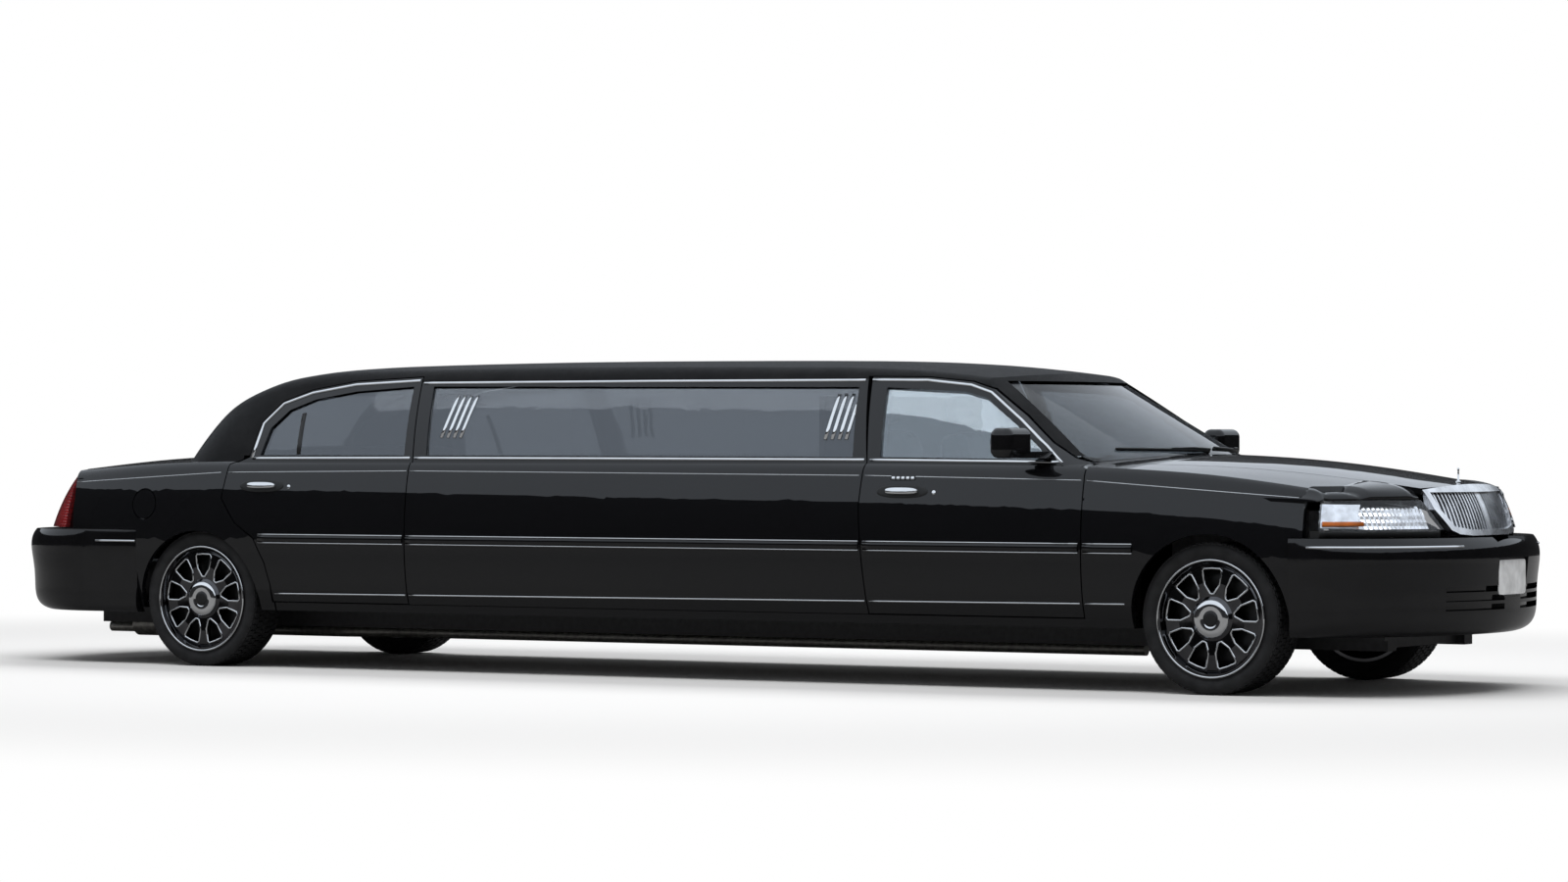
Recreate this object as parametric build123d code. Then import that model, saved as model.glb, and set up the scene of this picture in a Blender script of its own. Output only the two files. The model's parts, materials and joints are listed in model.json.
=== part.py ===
from build123d import *
import os
from math import cos, radians, sin, sqrt

os.makedirs("parts", exist_ok=True)

# Driving sizes in millimetres: X forward, Y left, Z up from the ground.
nose_x = 4005
tail_x = -4005
front_axle = 2955
rear_axle = -2575
front_track = 1620
rear_track = 1640
tyre_radius = 335
tyre_width = 235
rim_radius = 263
bead_radius = 250
barrel_wall = 14
spokes = 9
shut = 6
seat_gap = 0.3
skin = 30
door_depth = 105
frame_depth = 46
kingpin_y = 790
brake_radius = 125
front_arch = 372
rear_arch = 372
rear_arch_z = 300
rocker_z = 285
door_bottom = 330
floor_z = 300
floor_thick = 45
glass_out = 10
glass_in = 16
far = 6000
screen_half = 960

# Half section of the lower body: rocker foot, rocker lip, widest side, crease, belt.
foot_y, lip_y, side_y, crease_y, belt_y = 930, 962, 986, 950, 918
lip_z, side_z = 385, 640
body_rows = [
    # x, taper, crease z, belt z, crown z
    (-3760, 150, 905, 945, 965),
    (-3600, 105, 912, 955, 985),
    (-3400, 66, 922, 968, 1012),
    (-3150, 34, 935, 985, 1035),
    (-2850, 14, 950, 1003, 1045),
    (-2450, 3, 962, 1014, 1050),
    (-1900, 0, 968, 1018, 1050),
    (-1000, 0, 966, 1018, 1050),
    (0, 0, 962, 1015, 1050),
    (1000, 0, 958, 1012, 1050),
    (1900, 0, 948, 1006, 1055),
    (2350, 2, 938, 998, 1058),
    (2700, 8, 926, 983, 1048),
    (3000, 18, 908, 960, 1028),
    (3250, 34, 884, 930, 1001),
    (3500, 62, 852, 894, 966),
    (3700, 98, 826, 862, 935),
    (3860, 140, 800, 835, 905),
]

# Half section of the cabin: sill line, glass bulge, drip, roof edge, crown.
sill_y, bulge_y, drip_y, edge_y = 930, 18, 738, 640
cabin_rows = [
    # x, taper, sill z, drip z, roof edge z, crown z
    (-3130, 150, 560, 640, 700, 985),
    (-3000, 118, 680, 800, 870, 1130),
    (-2893, 92, 800, 940, 1036, 1226),
    (-2743, 62, 900, 1105, 1176, 1326),
    (-2571, 36, 945, 1250, 1300, 1398),
    (-2412, 20, 960, 1318, 1367, 1434),
    (-2270, 12, 960, 1356, 1410, 1461),
    (-2035, 5, 960, 1392, 1446, 1482),
    (-1500, 0, 960, 1414, 1464, 1497),
    (-800, 0, 960, 1417, 1470, 1504),
    (0, 0, 960, 1414, 1468, 1503),
    (700, 0, 960, 1408, 1462, 1497),
    (1200, 2, 960, 1400, 1450, 1484),
    (1600, 10, 960, 1376, 1420, 1456),
    (2000, 30, 960, 1330, 1372, 1408),
    (2700, 90, 960, 1230, 1270, 1300),
]


def box(x0, x1, y0, y1, z0, z1):
    return Pos((x0 + x1) / 2, (y0 + y1) / 2, (z0 + z1) / 2) * Box(x1 - x0, y1 - y0, z1 - z0)


def side_prism(points, y0, y1):
    # Polygon in X and Z, run along Y.
    face = Face(Wire.make_polygon([Vector(x, y0, z) for x, z in points], close=True))
    return Solid.extrude(face, Vector(0, y1 - y0, 0))


def plan_prism(points, z0, z1):
    # Polygon in X and Y, run along Z.
    face = Face(Wire.make_polygon([Vector(x, y, z0) for x, y in points], close=True))
    return Solid.extrude(face, Vector(0, 0, z1 - z0))


def cross_prism(points, x0, x1):
    # Polygon in Y and Z, run along X.
    face = Face(Wire.make_polygon([Vector(x0, y, z) for y, z in points], close=True))
    return Solid.extrude(face, Vector(x1 - x0, 0, 0))


def cyl_y(x, y0, y1, z, r):
    return Pos(x, (y0 + y1) / 2, z) * Rot(90, 0, 0) * Cylinder(r, abs(y1 - y0))


def cyl_z(x, y, z0, z1, r):
    return Pos(x, y, (z0 + z1) / 2) * Cylinder(r, z1 - z0)


def cyl_x(x0, x1, y, z, r):
    return Pos((x0 + x1) / 2, y, z) * Rot(0, 90, 0) * Cylinder(r, x1 - x0)


def tube(points, r):
    # Round bar through the points, one straight length after another.
    bar = None
    for a, b in zip(points, points[1:]):
        start, end = Vector(*a), Vector(*b)
        way = end - start
        piece = Solid.make_cylinder(r, way.length, Plane(start, z_dir=way.normalized()))
        piece = piece + Pos(*b) * Sphere(r)
        bar = piece if bar is None else bar + piece
    return bar


def lower(d):
    sections = []
    for x, taper, crease_z, belt_z, crown_z in body_rows:
        s = taper + d
        foot = (foot_y - s, rocker_z + d)
        lip = (lip_y - s, lip_z)
        side = (side_y - s, side_z)
        crease = (crease_y - s, crease_z - 0.3 * d)
        belt = (belt_y - s, belt_z - d)
        roll = ((crease[0] + belt[0]) / 2 + 6, (crease[1] + belt[1]) / 2 + 4)
        right = [
            Line(foot, lip),
            ThreePointArc(lip, side, crease),
            ThreePointArc(crease, roll, belt),
        ]
        other = [edge.mirror(Plane.YZ) for edge in right]
        crown = ThreePointArc(belt, (0, crown_z - d), (-belt[0], belt[1]))
        base = Line((-foot[0], foot[1]), foot)
        wire = Wire([base, *right, crown, *other[::-1]])
        plane = Plane((x, 0, 0), x_dir=(0, 1, 0), z_dir=(1, 0, 0))
        sections.append(plane * Face(wire))
    return loft(sections)


def cabin_loft(d):
    sections = []
    for x, taper, sill_z, drip_z, edge_z, crown_z in cabin_rows:
        s = taper + d
        sill = (sill_y - taper * 0.45 - d, sill_z - 0.5 * d)
        drip = (drip_y - s, drip_z - 0.3 * d)
        bulge = ((sill[0] + drip[0]) / 2 + bulge_y, (sill[1] + drip[1]) / 2)
        edge = (edge_y - s, edge_z - 0.9 * d)
        bend = (edge[0] + 0.62 * (drip[0] - edge[0]), drip[1] + 0.66 * (edge[1] - drip[1]))
        right = [
            ThreePointArc(sill, bulge, drip),
            ThreePointArc(drip, bend, edge),
        ]
        other = [edge_line.mirror(Plane.YZ) for edge_line in right]
        crown = ThreePointArc(edge, (0, crown_z - d), (-edge[0], edge[1]))
        base = Line((-sill[0], sill[1]), sill)
        wire = Wire([base, *right, crown, *other[::-1]])
        plane = Plane((x, 0, 0), x_dir=(0, 1, 0), z_dir=(1, 0, 0))
        sections.append(plane * Face(wire))
    return loft(sections)


def screen_block(d):
    # Everything behind the bowed windscreen face.
    sections = []
    for z, centre, corner in [(900, 2842, 2260), (1600, 1536, 1193)]:
        c, k = centre - 1.9 * d, corner - 1.9 * d
        wire = Wire([
            ThreePointArc((k, -screen_half), (c, 0), (k, screen_half)),
            Line((k, screen_half), (-far, screen_half)),
            Line((-far, screen_half), (-far, -screen_half)),
            Line((-far, -screen_half), (k, -screen_half)),
        ])
        sections.append(Pos(0, 0, z) * Face(wire))
    return loft(sections, ruled=True)


def cabin(d):
    return cabin_loft(d) & screen_block(d)


def outline(x0, bow, join_y, end_x, end_y, back_x):
    # Bowed front edge in plan with tangent corner arcs, closed at back_x; end_y is a half width.
    join_x = x0 - (bow - sqrt(bow * bow - join_y * join_y))
    way = (-join_y / bow, sqrt(1 - (join_y / bow) ** 2))
    left = TangentArc((join_x, join_y), (end_x, end_y), tangent=way)
    right = left.mirror(Plane.XZ)
    return Wire([
        ThreePointArc((join_x, -join_y), (x0, 0), (join_x, join_y)),
        left,
        Line((end_x, end_y), (back_x, end_y)),
        Line((back_x, end_y), (back_x, -end_y)),
        Line((back_x, -end_y), (end_x, -end_y)),
        right,
    ])


def stack(levels):
    # Loft of plan outlines, one for each height.
    return loft([Pos(0, 0, z) * Face(wire) for z, wire in levels])


front_bow, front_join, front_end_x, front_end_y = 1430, 700, 3380, 966
bumper_levels = [(262, 95), (292, 40), (400, 12), (560, 0), (650, 4), (690, 26)]
lean_levels = [(640, 88), (700, 100), (800, 132), (900, 182), (960, 235)]


def front_stack(d, levels):
    rows = []
    for z, inset in levels:
        e = inset + d
        rows.append((z, outline(nose_x - e, front_bow - e, front_join - 0.6 * e, front_end_x,
                                front_end_y - 0.25 * inset - d, 2600)))
    return stack(rows)


rear_bow, rear_join, rear_end_x, rear_end_y = 1500, 690, 3300, 958
rear_bumper_levels = [(262, 95), (292, 40), (400, 14), (540, 0), (640, 4), (672, 24)]
tail_levels = [(620, 95), (700, 112), (800, 150), (900, 205), (980, 270), (1060, 345)]


def rear_stack(d, levels):
    rows = []
    for z, inset in levels:
        e = inset + d
        rows.append((z, outline(-tail_x - e, rear_bow - e, rear_join - 0.6 * e, rear_end_x,
                                rear_end_y - 0.25 * inset - d, 2600)))
    return mirror(stack(rows), Plane.YZ)


def right_left(shape):
    return shape, mirror(shape, Plane.XZ)


lower_out = lower(0)
lower_in = lower(skin)
lower_door = lower(door_depth)
lower_trim = lower(22)
cabin_out = cabin(0)
cabin_in = cabin(frame_depth)
cabin_trim = cabin(22)
belt_split = 988
glass_shell = cabin(glass_out) - cabin(glass_in)
cabin_skin = cabin_out - cabin_in

# Side-view outlines of the doors, each seam point (x, z).
front_hinge_x, rear_hinge_x = 2346, -1312
swing, drift = 17, 6
front_door_line = [
    (1252, door_bottom), (front_hinge_x, door_bottom), (front_hinge_x, 990), (2290, 1020), (2240, 1036),
    (2126, 1104), (1966, 1226), (1783, 1348), (1665, 1382), (1440, 1404), (1150, 1408), (1222, 1020),
    (1212, 820),
]
rear_door_line = [
    (-2118, door_bottom), (rear_hinge_x, door_bottom), (rear_hinge_x, 1020), (-1375, 1424), (-1762, 1406),
    (-2019, 1366), (-2188, 1310), (-2282, 1206), (-2300, 1035), (-2393, 1000), (-2420, 835), (-2330, 715),
    (-2215, 640), (-2150, 520), (-2122, 410),
]
core_low = door_bottom + 14
front_core_x, rear_core_x = front_hinge_x - 30, rear_hinge_x - 30
front_door_core = [
    (1290, core_low), (front_core_x, core_low), (front_core_x, 970), (2245, 1003), (2200, 1030),
    (2100, 1092), (1945, 1210), (1770, 1326), (1655, 1360), (1435, 1382), (1205, 1386), (1262, 1020),
    (1250, 820),
]
rear_door_core = [
    (-2090, core_low), (rear_core_x, core_low), (rear_core_x, 1020), (-1396, 1400),
    (-1745, 1384), (-2000, 1345), (-2155, 1295), (-2245, 1195), (-2262, 1020), (-2352, 985), (-2378, 845),
    (-2300, 740), (-2185, 660), (-2115, 540), (-2092, 410),
]
front_window = [
    (1284, 1040), (2130, 1030), (2078, 1085), (1930, 1196), (1760, 1308), (1645, 1338), (1240, 1360),
]
rear_window_line = [
    (-2238, 1046), (-1365, 1046), (-1408, 1380), (-1748, 1358), (-1985, 1320), (-2130, 1268), (-2216, 1180),
]
stretch_window = [(-1235, 1046), (1140, 1040), (1092, 1364), (-1290, 1380)]
stretch_top = 1400


def line_prism(points, amount, y0, y1):
    # Side-view outline grown outward by amount and run along Y.
    wire = Wire.make_polygon([Vector(x, z, 0) for x, z in points], close=True)
    face = Face(wire) if amount == 0 else Face(wire.offset_2d(amount, kind=Kind.INTERSECTION))
    solid = Solid.extrude(face, Vector(0, 0, y1 - y0))
    return Rot(90, 0, 0) * Pos(0, 0, -y1) * solid


# Some rear corners run back a little as a door opens, so the posts stand off by swing or drift there.
door_cut = {}
for name, line, corner, back in [
    ("front", front_door_line, (1150, 1408), swing),
    ("rear", rear_door_line, (-2118, door_bottom), drift),
]:
    outer = [(x - back, z) if (x, z) == corner else (x, z) for x, z in line]
    door_cut[name] = line_prism(outer, shut, -1200, -400)
    door_cut[name + "_left"] = mirror(door_cut[name], Plane.XZ)

# Doors: outer skin to the shut line, inner box set in from it, window cut through both.
low_zone = box(-3000, 3000, -1200, -790, 0, belt_split + 22)
high_zone = box(-3000, 3000, -1200, -500, belt_split, 1600)
parts = {}
low_bands = {"outer": (lower_out, lower_trim), "inner": (lower_trim, lower_door)}
high_bands = {"outer": (cabin_out, cabin_trim), "inner": (cabin_trim, cabin_in)}


def band(points, layer):
    # One layer of the side wall inside a side-view outline.
    prism = line_prism(points, 0, -1200, -500)
    solid, core = low_bands[layer]
    low = (prism & low_zone & solid) - core
    solid, core = high_bands[layer]
    high = (prism & high_zone & solid) - core
    return low, high


for name, line, core, window in [
    ("front", front_door_line, front_door_core, front_window),
    ("rear", rear_door_line, rear_door_core, rear_window_line),
]:
    low_outer, high_outer = band(line, "outer")
    low_inner, high_inner = band(core, "inner")
    pane = line_prism(window, 0, -1200, -400)
    door = (low_outer + low_inner) + ((high_outer + high_inner) - pane)
    glass = glass_shell & line_prism(window, -seat_gap, -1200, -400)
    for side, solid, sheet in zip(("right", "left"), right_left(door), right_left(glass)):
        parts[name + "_door_" + side] = solid
        parts[name + "_glass_" + side] = sheet

# Hood seam in plan, and the opening it leaves.
hood_rear_x, hood_side_x, hood_rear_y = 2600, 2425, 790
hood_front_x, hood_corner_x, hood_front_y = 3806, 3742, 446
hood_edge = Wire([
    ThreePointArc((hood_side_x, -hood_rear_y), (hood_rear_x, 0), (hood_side_x, hood_rear_y)),
    Line((hood_side_x, hood_rear_y), (hood_corner_x, hood_front_y)),
    ThreePointArc((hood_corner_x, hood_front_y), (hood_front_x, 0), (hood_corner_x, -hood_front_y)),
    Line((hood_corner_x, -hood_front_y), (hood_side_x, -hood_rear_y)),
])
hood_plan = Solid.extrude(Face(hood_edge), Vector(0, 0, 500)).moved(Pos(0, 0, 750))
hood_hole = Solid.extrude(Face(hood_edge.offset_2d(shut)), Vector(0, 0, 500)).moved(Pos(0, 0, 750))
hood_seat = Solid.extrude(Face(hood_edge.offset_2d(seat_gap)), Vector(0, 0, 500)).moved(Pos(0, 0, 750))
swing_gap = 20
hood_swing = Solid.extrude(Face(hood_edge.offset_2d(swing_gap)), Vector(0, 0, 500)).moved(Pos(0, 0, 750))
hood_thick = 26
parts["hood"] = (hood_plan & lower_out) - lower(hood_thick)

# Grille: a shield between the lamps that travels with the hood.
shield = [
    (-436, 905), (-418, 812), (-352, 722), (-300, 704), (-206, 697), (206, 697), (300, 704), (352, 722),
    (418, 812), (436, 905), (400, 930), (-400, 930),
]
shield_in = [
    (-398, 888), (-384, 815), (-325, 738), (-200, 722), (200, 722), (325, 738), (384, 815), (398, 888),
]
shield_deep = 60
slat_pitch = 26
slat_wide = 9
nose_block = front_stack(0, lean_levels)
mouth = cross_prism(shield_in, 3600, 4100)
grille = (cross_prism(shield, 3600, 4100) & nose_block) - front_stack(shield_deep, lean_levels)
grille = grille - hood_seat
grille = grille - (mouth - front_stack(14, lean_levels))
slots = []
slot_low, slot_high, slot_deep = 690, 935, 36
for i in range(15):
    start = i * slat_pitch + (2 * slat_wide if i == 0 else slat_wide / 2)
    end = (i + 1) * slat_pitch - slat_wide / 2
    sag = front_bow - sqrt(front_bow ** 2 - end ** 2)
    foot_x = nose_x - lean_levels[1][1] - sag - slot_deep
    head_x = nose_x - lean_levels[3][1] - sag - slot_deep - 15
    line = [(foot_x, slot_low), (4100, slot_low), (4100, slot_high), (head_x, slot_high)]
    slots += [side_prism(line, start, end), side_prism(line, -end, -start)]
parts["grille"] = grille - (Compound(children=slots) & mouth)

# Lamps.
lamp_face = [(-476, 854), (-404, 724), (-1020, 724), (-1020, 846), (-700, 856)]
lamp_rear = 3462
lamp_box = cross_prism(lamp_face, lamp_rear, 4100)
headlamp = (nose_block - front_stack(95, lean_levels)) & lamp_box
parts["headlamps"] = Compound(children=right_left(headlamp))

tail_face = [(-1000, 935), (-752, 935), (-752, 682), (-1000, 682)]
tail_front = -3470
tail_block = rear_stack(0, tail_levels)
tail_box = cross_prism(tail_face, -4100, tail_front)
tail_lamp = (tail_block - rear_stack(70, tail_levels)) & tail_box
parts["tail_lamps"] = Compound(children=right_left(tail_lamp))

# Bumpers: covers with a ledge along the top.
cover_wall, ledge, ledge_z = 55, 175, 640
bumper_rear_x = 3345
front_cover = front_stack(0, bumper_levels) & box(bumper_rear_x, far, -1200, 1200, 0, 2000)
front_cover = front_cover - [
    front_stack(ledge, bumper_levels),
    front_stack(cover_wall, bumper_levels) & box(2000, far, -1200, 1200, 0, ledge_z),
    cyl_y(front_axle, -1200, 1200, tyre_radius, front_arch + 24),
]
inlets = []
for z in (372, 412, 452):
    inlets += [box(3500, 4100, 90, 520, z, z + 26), box(3500, 4100, -520, -90, z, z + 26)]
front_cover = front_cover - (Compound(children=inlets) - front_stack(34, bumper_levels))
dip = [(-205, 720), (-150, 662), (-60, 652), (60, 652), (150, 662), (205, 720)]
plate_face, plate_half, plate_low, plate_high = 3988, 165, 425, 600
plate_seat = box(plate_face, 4100, -plate_half, plate_half, plate_low, plate_high)
parts["front_bumper"] = front_cover - [cross_prism(dip, 3600, 3985), plate_seat]

rear_cover_x = -2960
rear_cover = rear_stack(0, rear_bumper_levels) & box(-far, rear_cover_x, -1200, 1200, 0, 2000)
parts["rear_bumper"] = rear_cover - [
    rear_stack(ledge, rear_bumper_levels),
    rear_stack(cover_wall, rear_bumper_levels) & box(-far, 0, -1200, 1200, 0, ledge_z - 18),
    cyl_y(rear_axle, -1200, 1200, rear_arch_z, rear_arch + 24),
]

# Front fenders.
sill_rear, sill_front, sill_top = -2110, 2580, rocker_z + 39
bumper_top = 692
fender = (box(front_hinge_x + shut, 3780, -1200, -430, rocker_z, 1200) & lower_out) - lower_in
fender = fender - [
    hood_hole,
    cyl_y(front_axle, -1200, -300, tyre_radius, front_arch),
    box(bumper_rear_x - seat_gap, far, -1200, 0, 0, bumper_top + 1),
    box(lamp_rear - 1, far, -1200, 0, 0, 857),
    box(2300, 2440, -hood_rear_y - shut, 0, 900, 1100),
    box(2000, far, -820, 0, 0, 700),
    box(2000, sill_front + seat_gap, -1200, 0, 0, sill_top + seat_gap),
    box(3400, far, -1200, 0, 0, 1200) - front_stack(70, lean_levels),
]
fender = fender.solids().sort_by(SortBy.VOLUME)[-1]
hood_pin_z, hood_pin_r = 996, 4
fender = fender + cyl_y(hood_side_x, -hood_rear_y - 12, -hood_rear_y - seat_gap, hood_pin_z, hood_pin_r)
leaf_y = (-966, -950)
leaf_rows = [(470, 530), (810, 860)]
for z0, z1 in leaf_rows:
    fender = fender + box(front_hinge_x + seat_gap, front_hinge_x + 2 * shut, *leaf_y, z0, z1)
parts["fenders"] = Compound(children=right_left(fender))

# Trunk lid and its opening in plan.
lid_front, lid_half, lid_rear_half = -3205, 742, 690
lid_line = [(lid_front, -lid_half), (lid_front, lid_half), (-3480, 736), (-4100, lid_rear_half),
            (-4100, -lid_rear_half), (-3480, -736)]
lid_grown = [(lid_front + shut, -lid_half - shut), (lid_front + shut, lid_half + shut), (-3480, 736 + shut),
             (-4100, lid_rear_half + shut), (-4100, -lid_rear_half - shut), (-3480, -736 - shut)]
tail_body = rear_stack(28, tail_levels)
trunk_out = lower_out & (tail_body + box(-3400, far, -1200, 1200, 0, 1200))
trunk_end = body_rows[0][0] + 28
trunk_in = lower(28) & (rear_stack(58, tail_levels) + box(-3300, far, -1200, 1200, 0, 1200))
trunk_in = trunk_in & box(trunk_end, far, -1200, 1200, 0, 1200)
trunk_skin = trunk_out - trunk_in
lid_bottom = 700
parts["trunk_lid"] = trunk_skin & plan_prism(lid_line, lid_bottom, 1200)

# Quarter panels.
flap_x, flap_z, flap_r = -2913, 803, 72
quarter = (trunk_skin & box(-far, -2119, -1200, -0.5, rocker_z, 1200)) - [
    plan_prism(lid_grown, 400, 1300),
    door_cut["rear"],
    cyl_y(rear_axle, -1200, -300, rear_arch_z, rear_arch),
    box(-far, rear_cover_x + seat_gap, -1200, 0, 0, 674),
    tail_box,
    box(-far, -3400, -760, 0, 0, 690),
    cabin_out,
    box(-far, 0, -800, 0, 0, 674),
]
quarter = quarter.solids().sort_by(SortBy.VOLUME)[-1]
recess = (cyl_y(flap_x, -1200, -700, flap_z, flap_r + 6) & lower_out) - lower(20)
parts["fuel_flap"] = (cyl_y(flap_x, -1200, -700, flap_z, flap_r) & lower_out) - lower(8)
flap_edge = flap_x + flap_r
flap_leaf = box(flap_edge + seat_gap, flap_edge + 2 * shut, -961, -955, flap_z - 5, flap_z + 5)
parts["quarter_panels"] = Compound(children=[(quarter - recess) + flap_leaf, mirror(quarter, Plane.XZ)])

# Stretch panels between the doors, with the long window.
stretch_line = [(-1320, rocker_z), (1320, rocker_z), (1320, stretch_top), (-1450, stretch_top)]
stretch_low = (box(-1500, 1500, -1200, -790, rocker_z + 42, belt_split + 22) & lower_out) - lower(60)
stretch_high = (box(-1500, 1500, -1200, -500, belt_split, stretch_top) & cabin_out) - cabin_in
stretch_prism = line_prism(stretch_line, 0, -1200, -400)
cuts = [door_cut["front"], door_cut["rear"], line_prism(stretch_window, 0, -1200, -400)]
stretch = ((stretch_prism & stretch_low) + (stretch_prism & stretch_high)) - cuts
stretch = stretch.solids().sort_by(SortBy.VOLUME)[-1]
for z0, z1 in leaf_rows:
    stretch = stretch + box(rear_hinge_x + seat_gap, rear_hinge_x + 2 * shut, *leaf_y, z0, z1)
stretch_pane = line_prism(stretch_window, -seat_gap, -1200, -400) & glass_shell
parts["stretch_panels"] = Compound(children=right_left(stretch))
parts["stretch_glass"] = Compound(children=right_left(stretch_pane))

# Roof with windscreen pillars, rear pillars, and the two end windows.
screen_face = [(-770, 1020), (770, 1020), (770, 1062), (610, 1388), (-610, 1388), (-770, 1062)]
back_face = [(-600, 1072), (600, 1072), (520, 1352), (-520, 1352)]
screen_hole = cross_prism(screen_face, 1500, 3200)
back_hole = cross_prism(back_face, -3300, -2100)
roof = cabin_skin - [
    *door_cut.values(),
    screen_hole,
    back_hole,
    lower_out,
    box(-1500, 1400, -1200, 1200, 0, stretch_top),
    box(-2340, 2400, -1200, 1200, 0, 1045),
]
parts["roof"] = roof.solids().sort_by(SortBy.VOLUME)[-1]
screen_pane = cross_prism([(-769.7, 1021), (769.7, 1021), (769.7, 1062), (609.7, 1387.7), (-609.7, 1387.7),
                           (-769.7, 1062)], 1500, 3200)
parts["windscreen"] = (glass_shell & screen_pane) - [lower_out, door_cut["front"], door_cut["front_left"]]
back_edge = [(-599.7, 1072.3), (599.7, 1072.3), (519.7, 1351.7), (-519.7, 1351.7)]
back_pane = cross_prism(back_edge, -3300, -2100)
parts["rear_window"] = glass_shell & back_pane

# Deck behind the rear window and cowl ahead of the windscreen.
deck = (box(lid_front + shut, -2300, -748, 748, 900, 1200) & lower_out) - lower_in
lid_leaf_z = (1002, 1017)
for y in (-300, 300):
    deck = deck + box(lid_front + seat_gap, lid_front + 2 * shut, y - 15, y + 15, *lid_leaf_z)
parts["rear_deck"] = deck - [
    parts["quarter_panels"],
    door_cut["rear"],
    door_cut["rear_left"],
    parts["roof"],
]

cowl_half = hood_rear_y + shut - seat_gap
cowl = (box(2180, hood_rear_x + 10, -cowl_half, cowl_half, 900, 1200) & lower_out) - lower_in
tunnel_half, tunnel_top, tunnel_wall = 130, 405, 12
gearbox_half, gearbox_top, gearbox_rear = 150, 486, 1640
firewall = box(2330, 2360, -780, 780, floor_z + floor_thick, 975) & lower_in
firewall = firewall - box(2300, 2400, -gearbox_half, gearbox_half, 0, gearbox_top)
fender_step = 2440
parts["cowl"] = (cowl + firewall) - [
    hood_swing,
    door_cut["front"],
    door_cut["front_left"],
    box(fender_step - seat_gap, 2700, -820, -740, 880, 1200),
    box(fender_step - seat_gap, 2700, 740, 820, 880, 1200),
]

# Floor, sills and chassis.
floor_front, floor_rear, floor_half = 2330, -2150, 783
floor = box(floor_rear, floor_front, -floor_half, floor_half, floor_z, floor_z + floor_thick)
floor = floor + box(floor_rear, floor_front, -tunnel_half, tunnel_half, floor_z, tunnel_top)
cover_rear = gearbox_rear - 30
floor_top = floor_z + floor_thick
inner_half = tunnel_half - tunnel_wall
floor = floor - box(floor_rear - 1, floor_front + 1, -inner_half, inner_half, 0, tunnel_top - tunnel_wall)
inner_half = gearbox_half - tunnel_wall
inner_rear = cover_rear + tunnel_wall
cover_room = box(inner_rear, floor_front + 1, -inner_half, inner_half, 0, gearbox_top - tunnel_wall)
tunnel_mouth = tunnel_half + seat_gap
cover = box(cover_rear, floor_front, -gearbox_half, gearbox_half, floor_top + seat_gap, gearbox_top) - [
    cover_room,
    box(cover_rear - 1, inner_rear + 1, -tunnel_mouth, tunnel_mouth, 0, tunnel_top + seat_gap),
]
parts["floor_pan"] = floor - cover_room
parts["gearbox_cover"] = cover
sill = lower_out & box(sill_rear, sill_front, -1200, -floor_half - seat_gap, rocker_z, sill_top)
parts["rockers"] = Compound(children=right_left(sill))

rail_y, rail_half, rail_low = 430, 45, 190
rail_top = floor_z - seat_gap
rail_rear, rail_front = -3560, 3600
bar_low, bar_top, bar_long = 200, 290, 80
bar_rear_ends = [-3560, -1800, -700, 400, 1500, 2460, 3480]
axle_gap = 240
trunk_low, trunk_top = 470, 500
rails = None
for y in (-rail_y, rail_y):
    rail = box(rail_rear, rail_front, y - rail_half, y + rail_half, rail_low, rail_top)
    rail = rail - box(rear_axle - axle_gap, rear_axle + axle_gap, y - 60, y + 60, 280, 420)
    rails = rail if rails is None else rails + rail
for x in bar_rear_ends:
    rails = rails + box(x, x + bar_long, -rail_y, rail_y, bar_low, bar_top)
carrier = box(3575, 3640, -600, 600, 240, 690) - box(3570, 3645, -330, 330, 340, 640)
lamp_low = 724
for y0, y1 in ((-600, -480), (480, 600)):
    carrier = carrier + box(3575, 3735, y0, y1, 698, lamp_low - seat_gap)
    carrier = carrier + box(3575, 3640, y0, y1, 600, 710)
rails = rails + carrier
tie_x, tie_r = 2300, 10
for x in (-tie_x, tie_x):
    for y in (-rail_y, rail_y):
        rails = rails - cyl_z(x, y, 100, 400, tie_r)
parts["chassis_frame"] = rails

engine_rear, engine_low, engine_high = 2440, 300, 800
engine_block = box(engine_rear, 3120, -250, 250, engine_low, engine_high)
engine_block = engine_block + box(3120, 3240, -190, 190, 360, 640)
for y0, y1 in ((-rail_y - 30, -240), (240, rail_y + 30)):
    engine_block = engine_block + box(2700, 2800, y0, y1, engine_low, engine_low + 40)
parts["engine"] = engine_block

axle_z, diff_radius, axle_tube = tyre_radius, 135, 42
gearbox_z, gearbox_radius, shaft_radius = 350, 120, 40
drive = cyl_x(gearbox_rear, engine_rear - seat_gap, 0, gearbox_z, gearbox_radius)
drive = drive + cyl_x(rear_axle + diff_radius + seat_gap, gearbox_rear, 0, axle_z, shaft_radius)
parts["driveline"] = drive

rear_half = rear_track / 2
hub_inner = 40
axle_end = rear_half - hub_inner - seat_gap
axle = cyl_y(rear_axle, -axle_end, axle_end, axle_z, axle_tube)
axle = axle + (Pos(rear_axle, 0, axle_z) * Sphere(diff_radius))
for s in (-1, 1):
    axle = axle + cyl_y(rear_axle, s * (rear_half - 95), s * (rear_half - 70), axle_z, 150)
    pad_y = s * rail_y
    axle = axle + box(rear_axle - 60, rear_axle + 60, pad_y - 40, pad_y + 40, 280 + seat_gap, axle_z)
parts["rear_axle"] = axle

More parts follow.
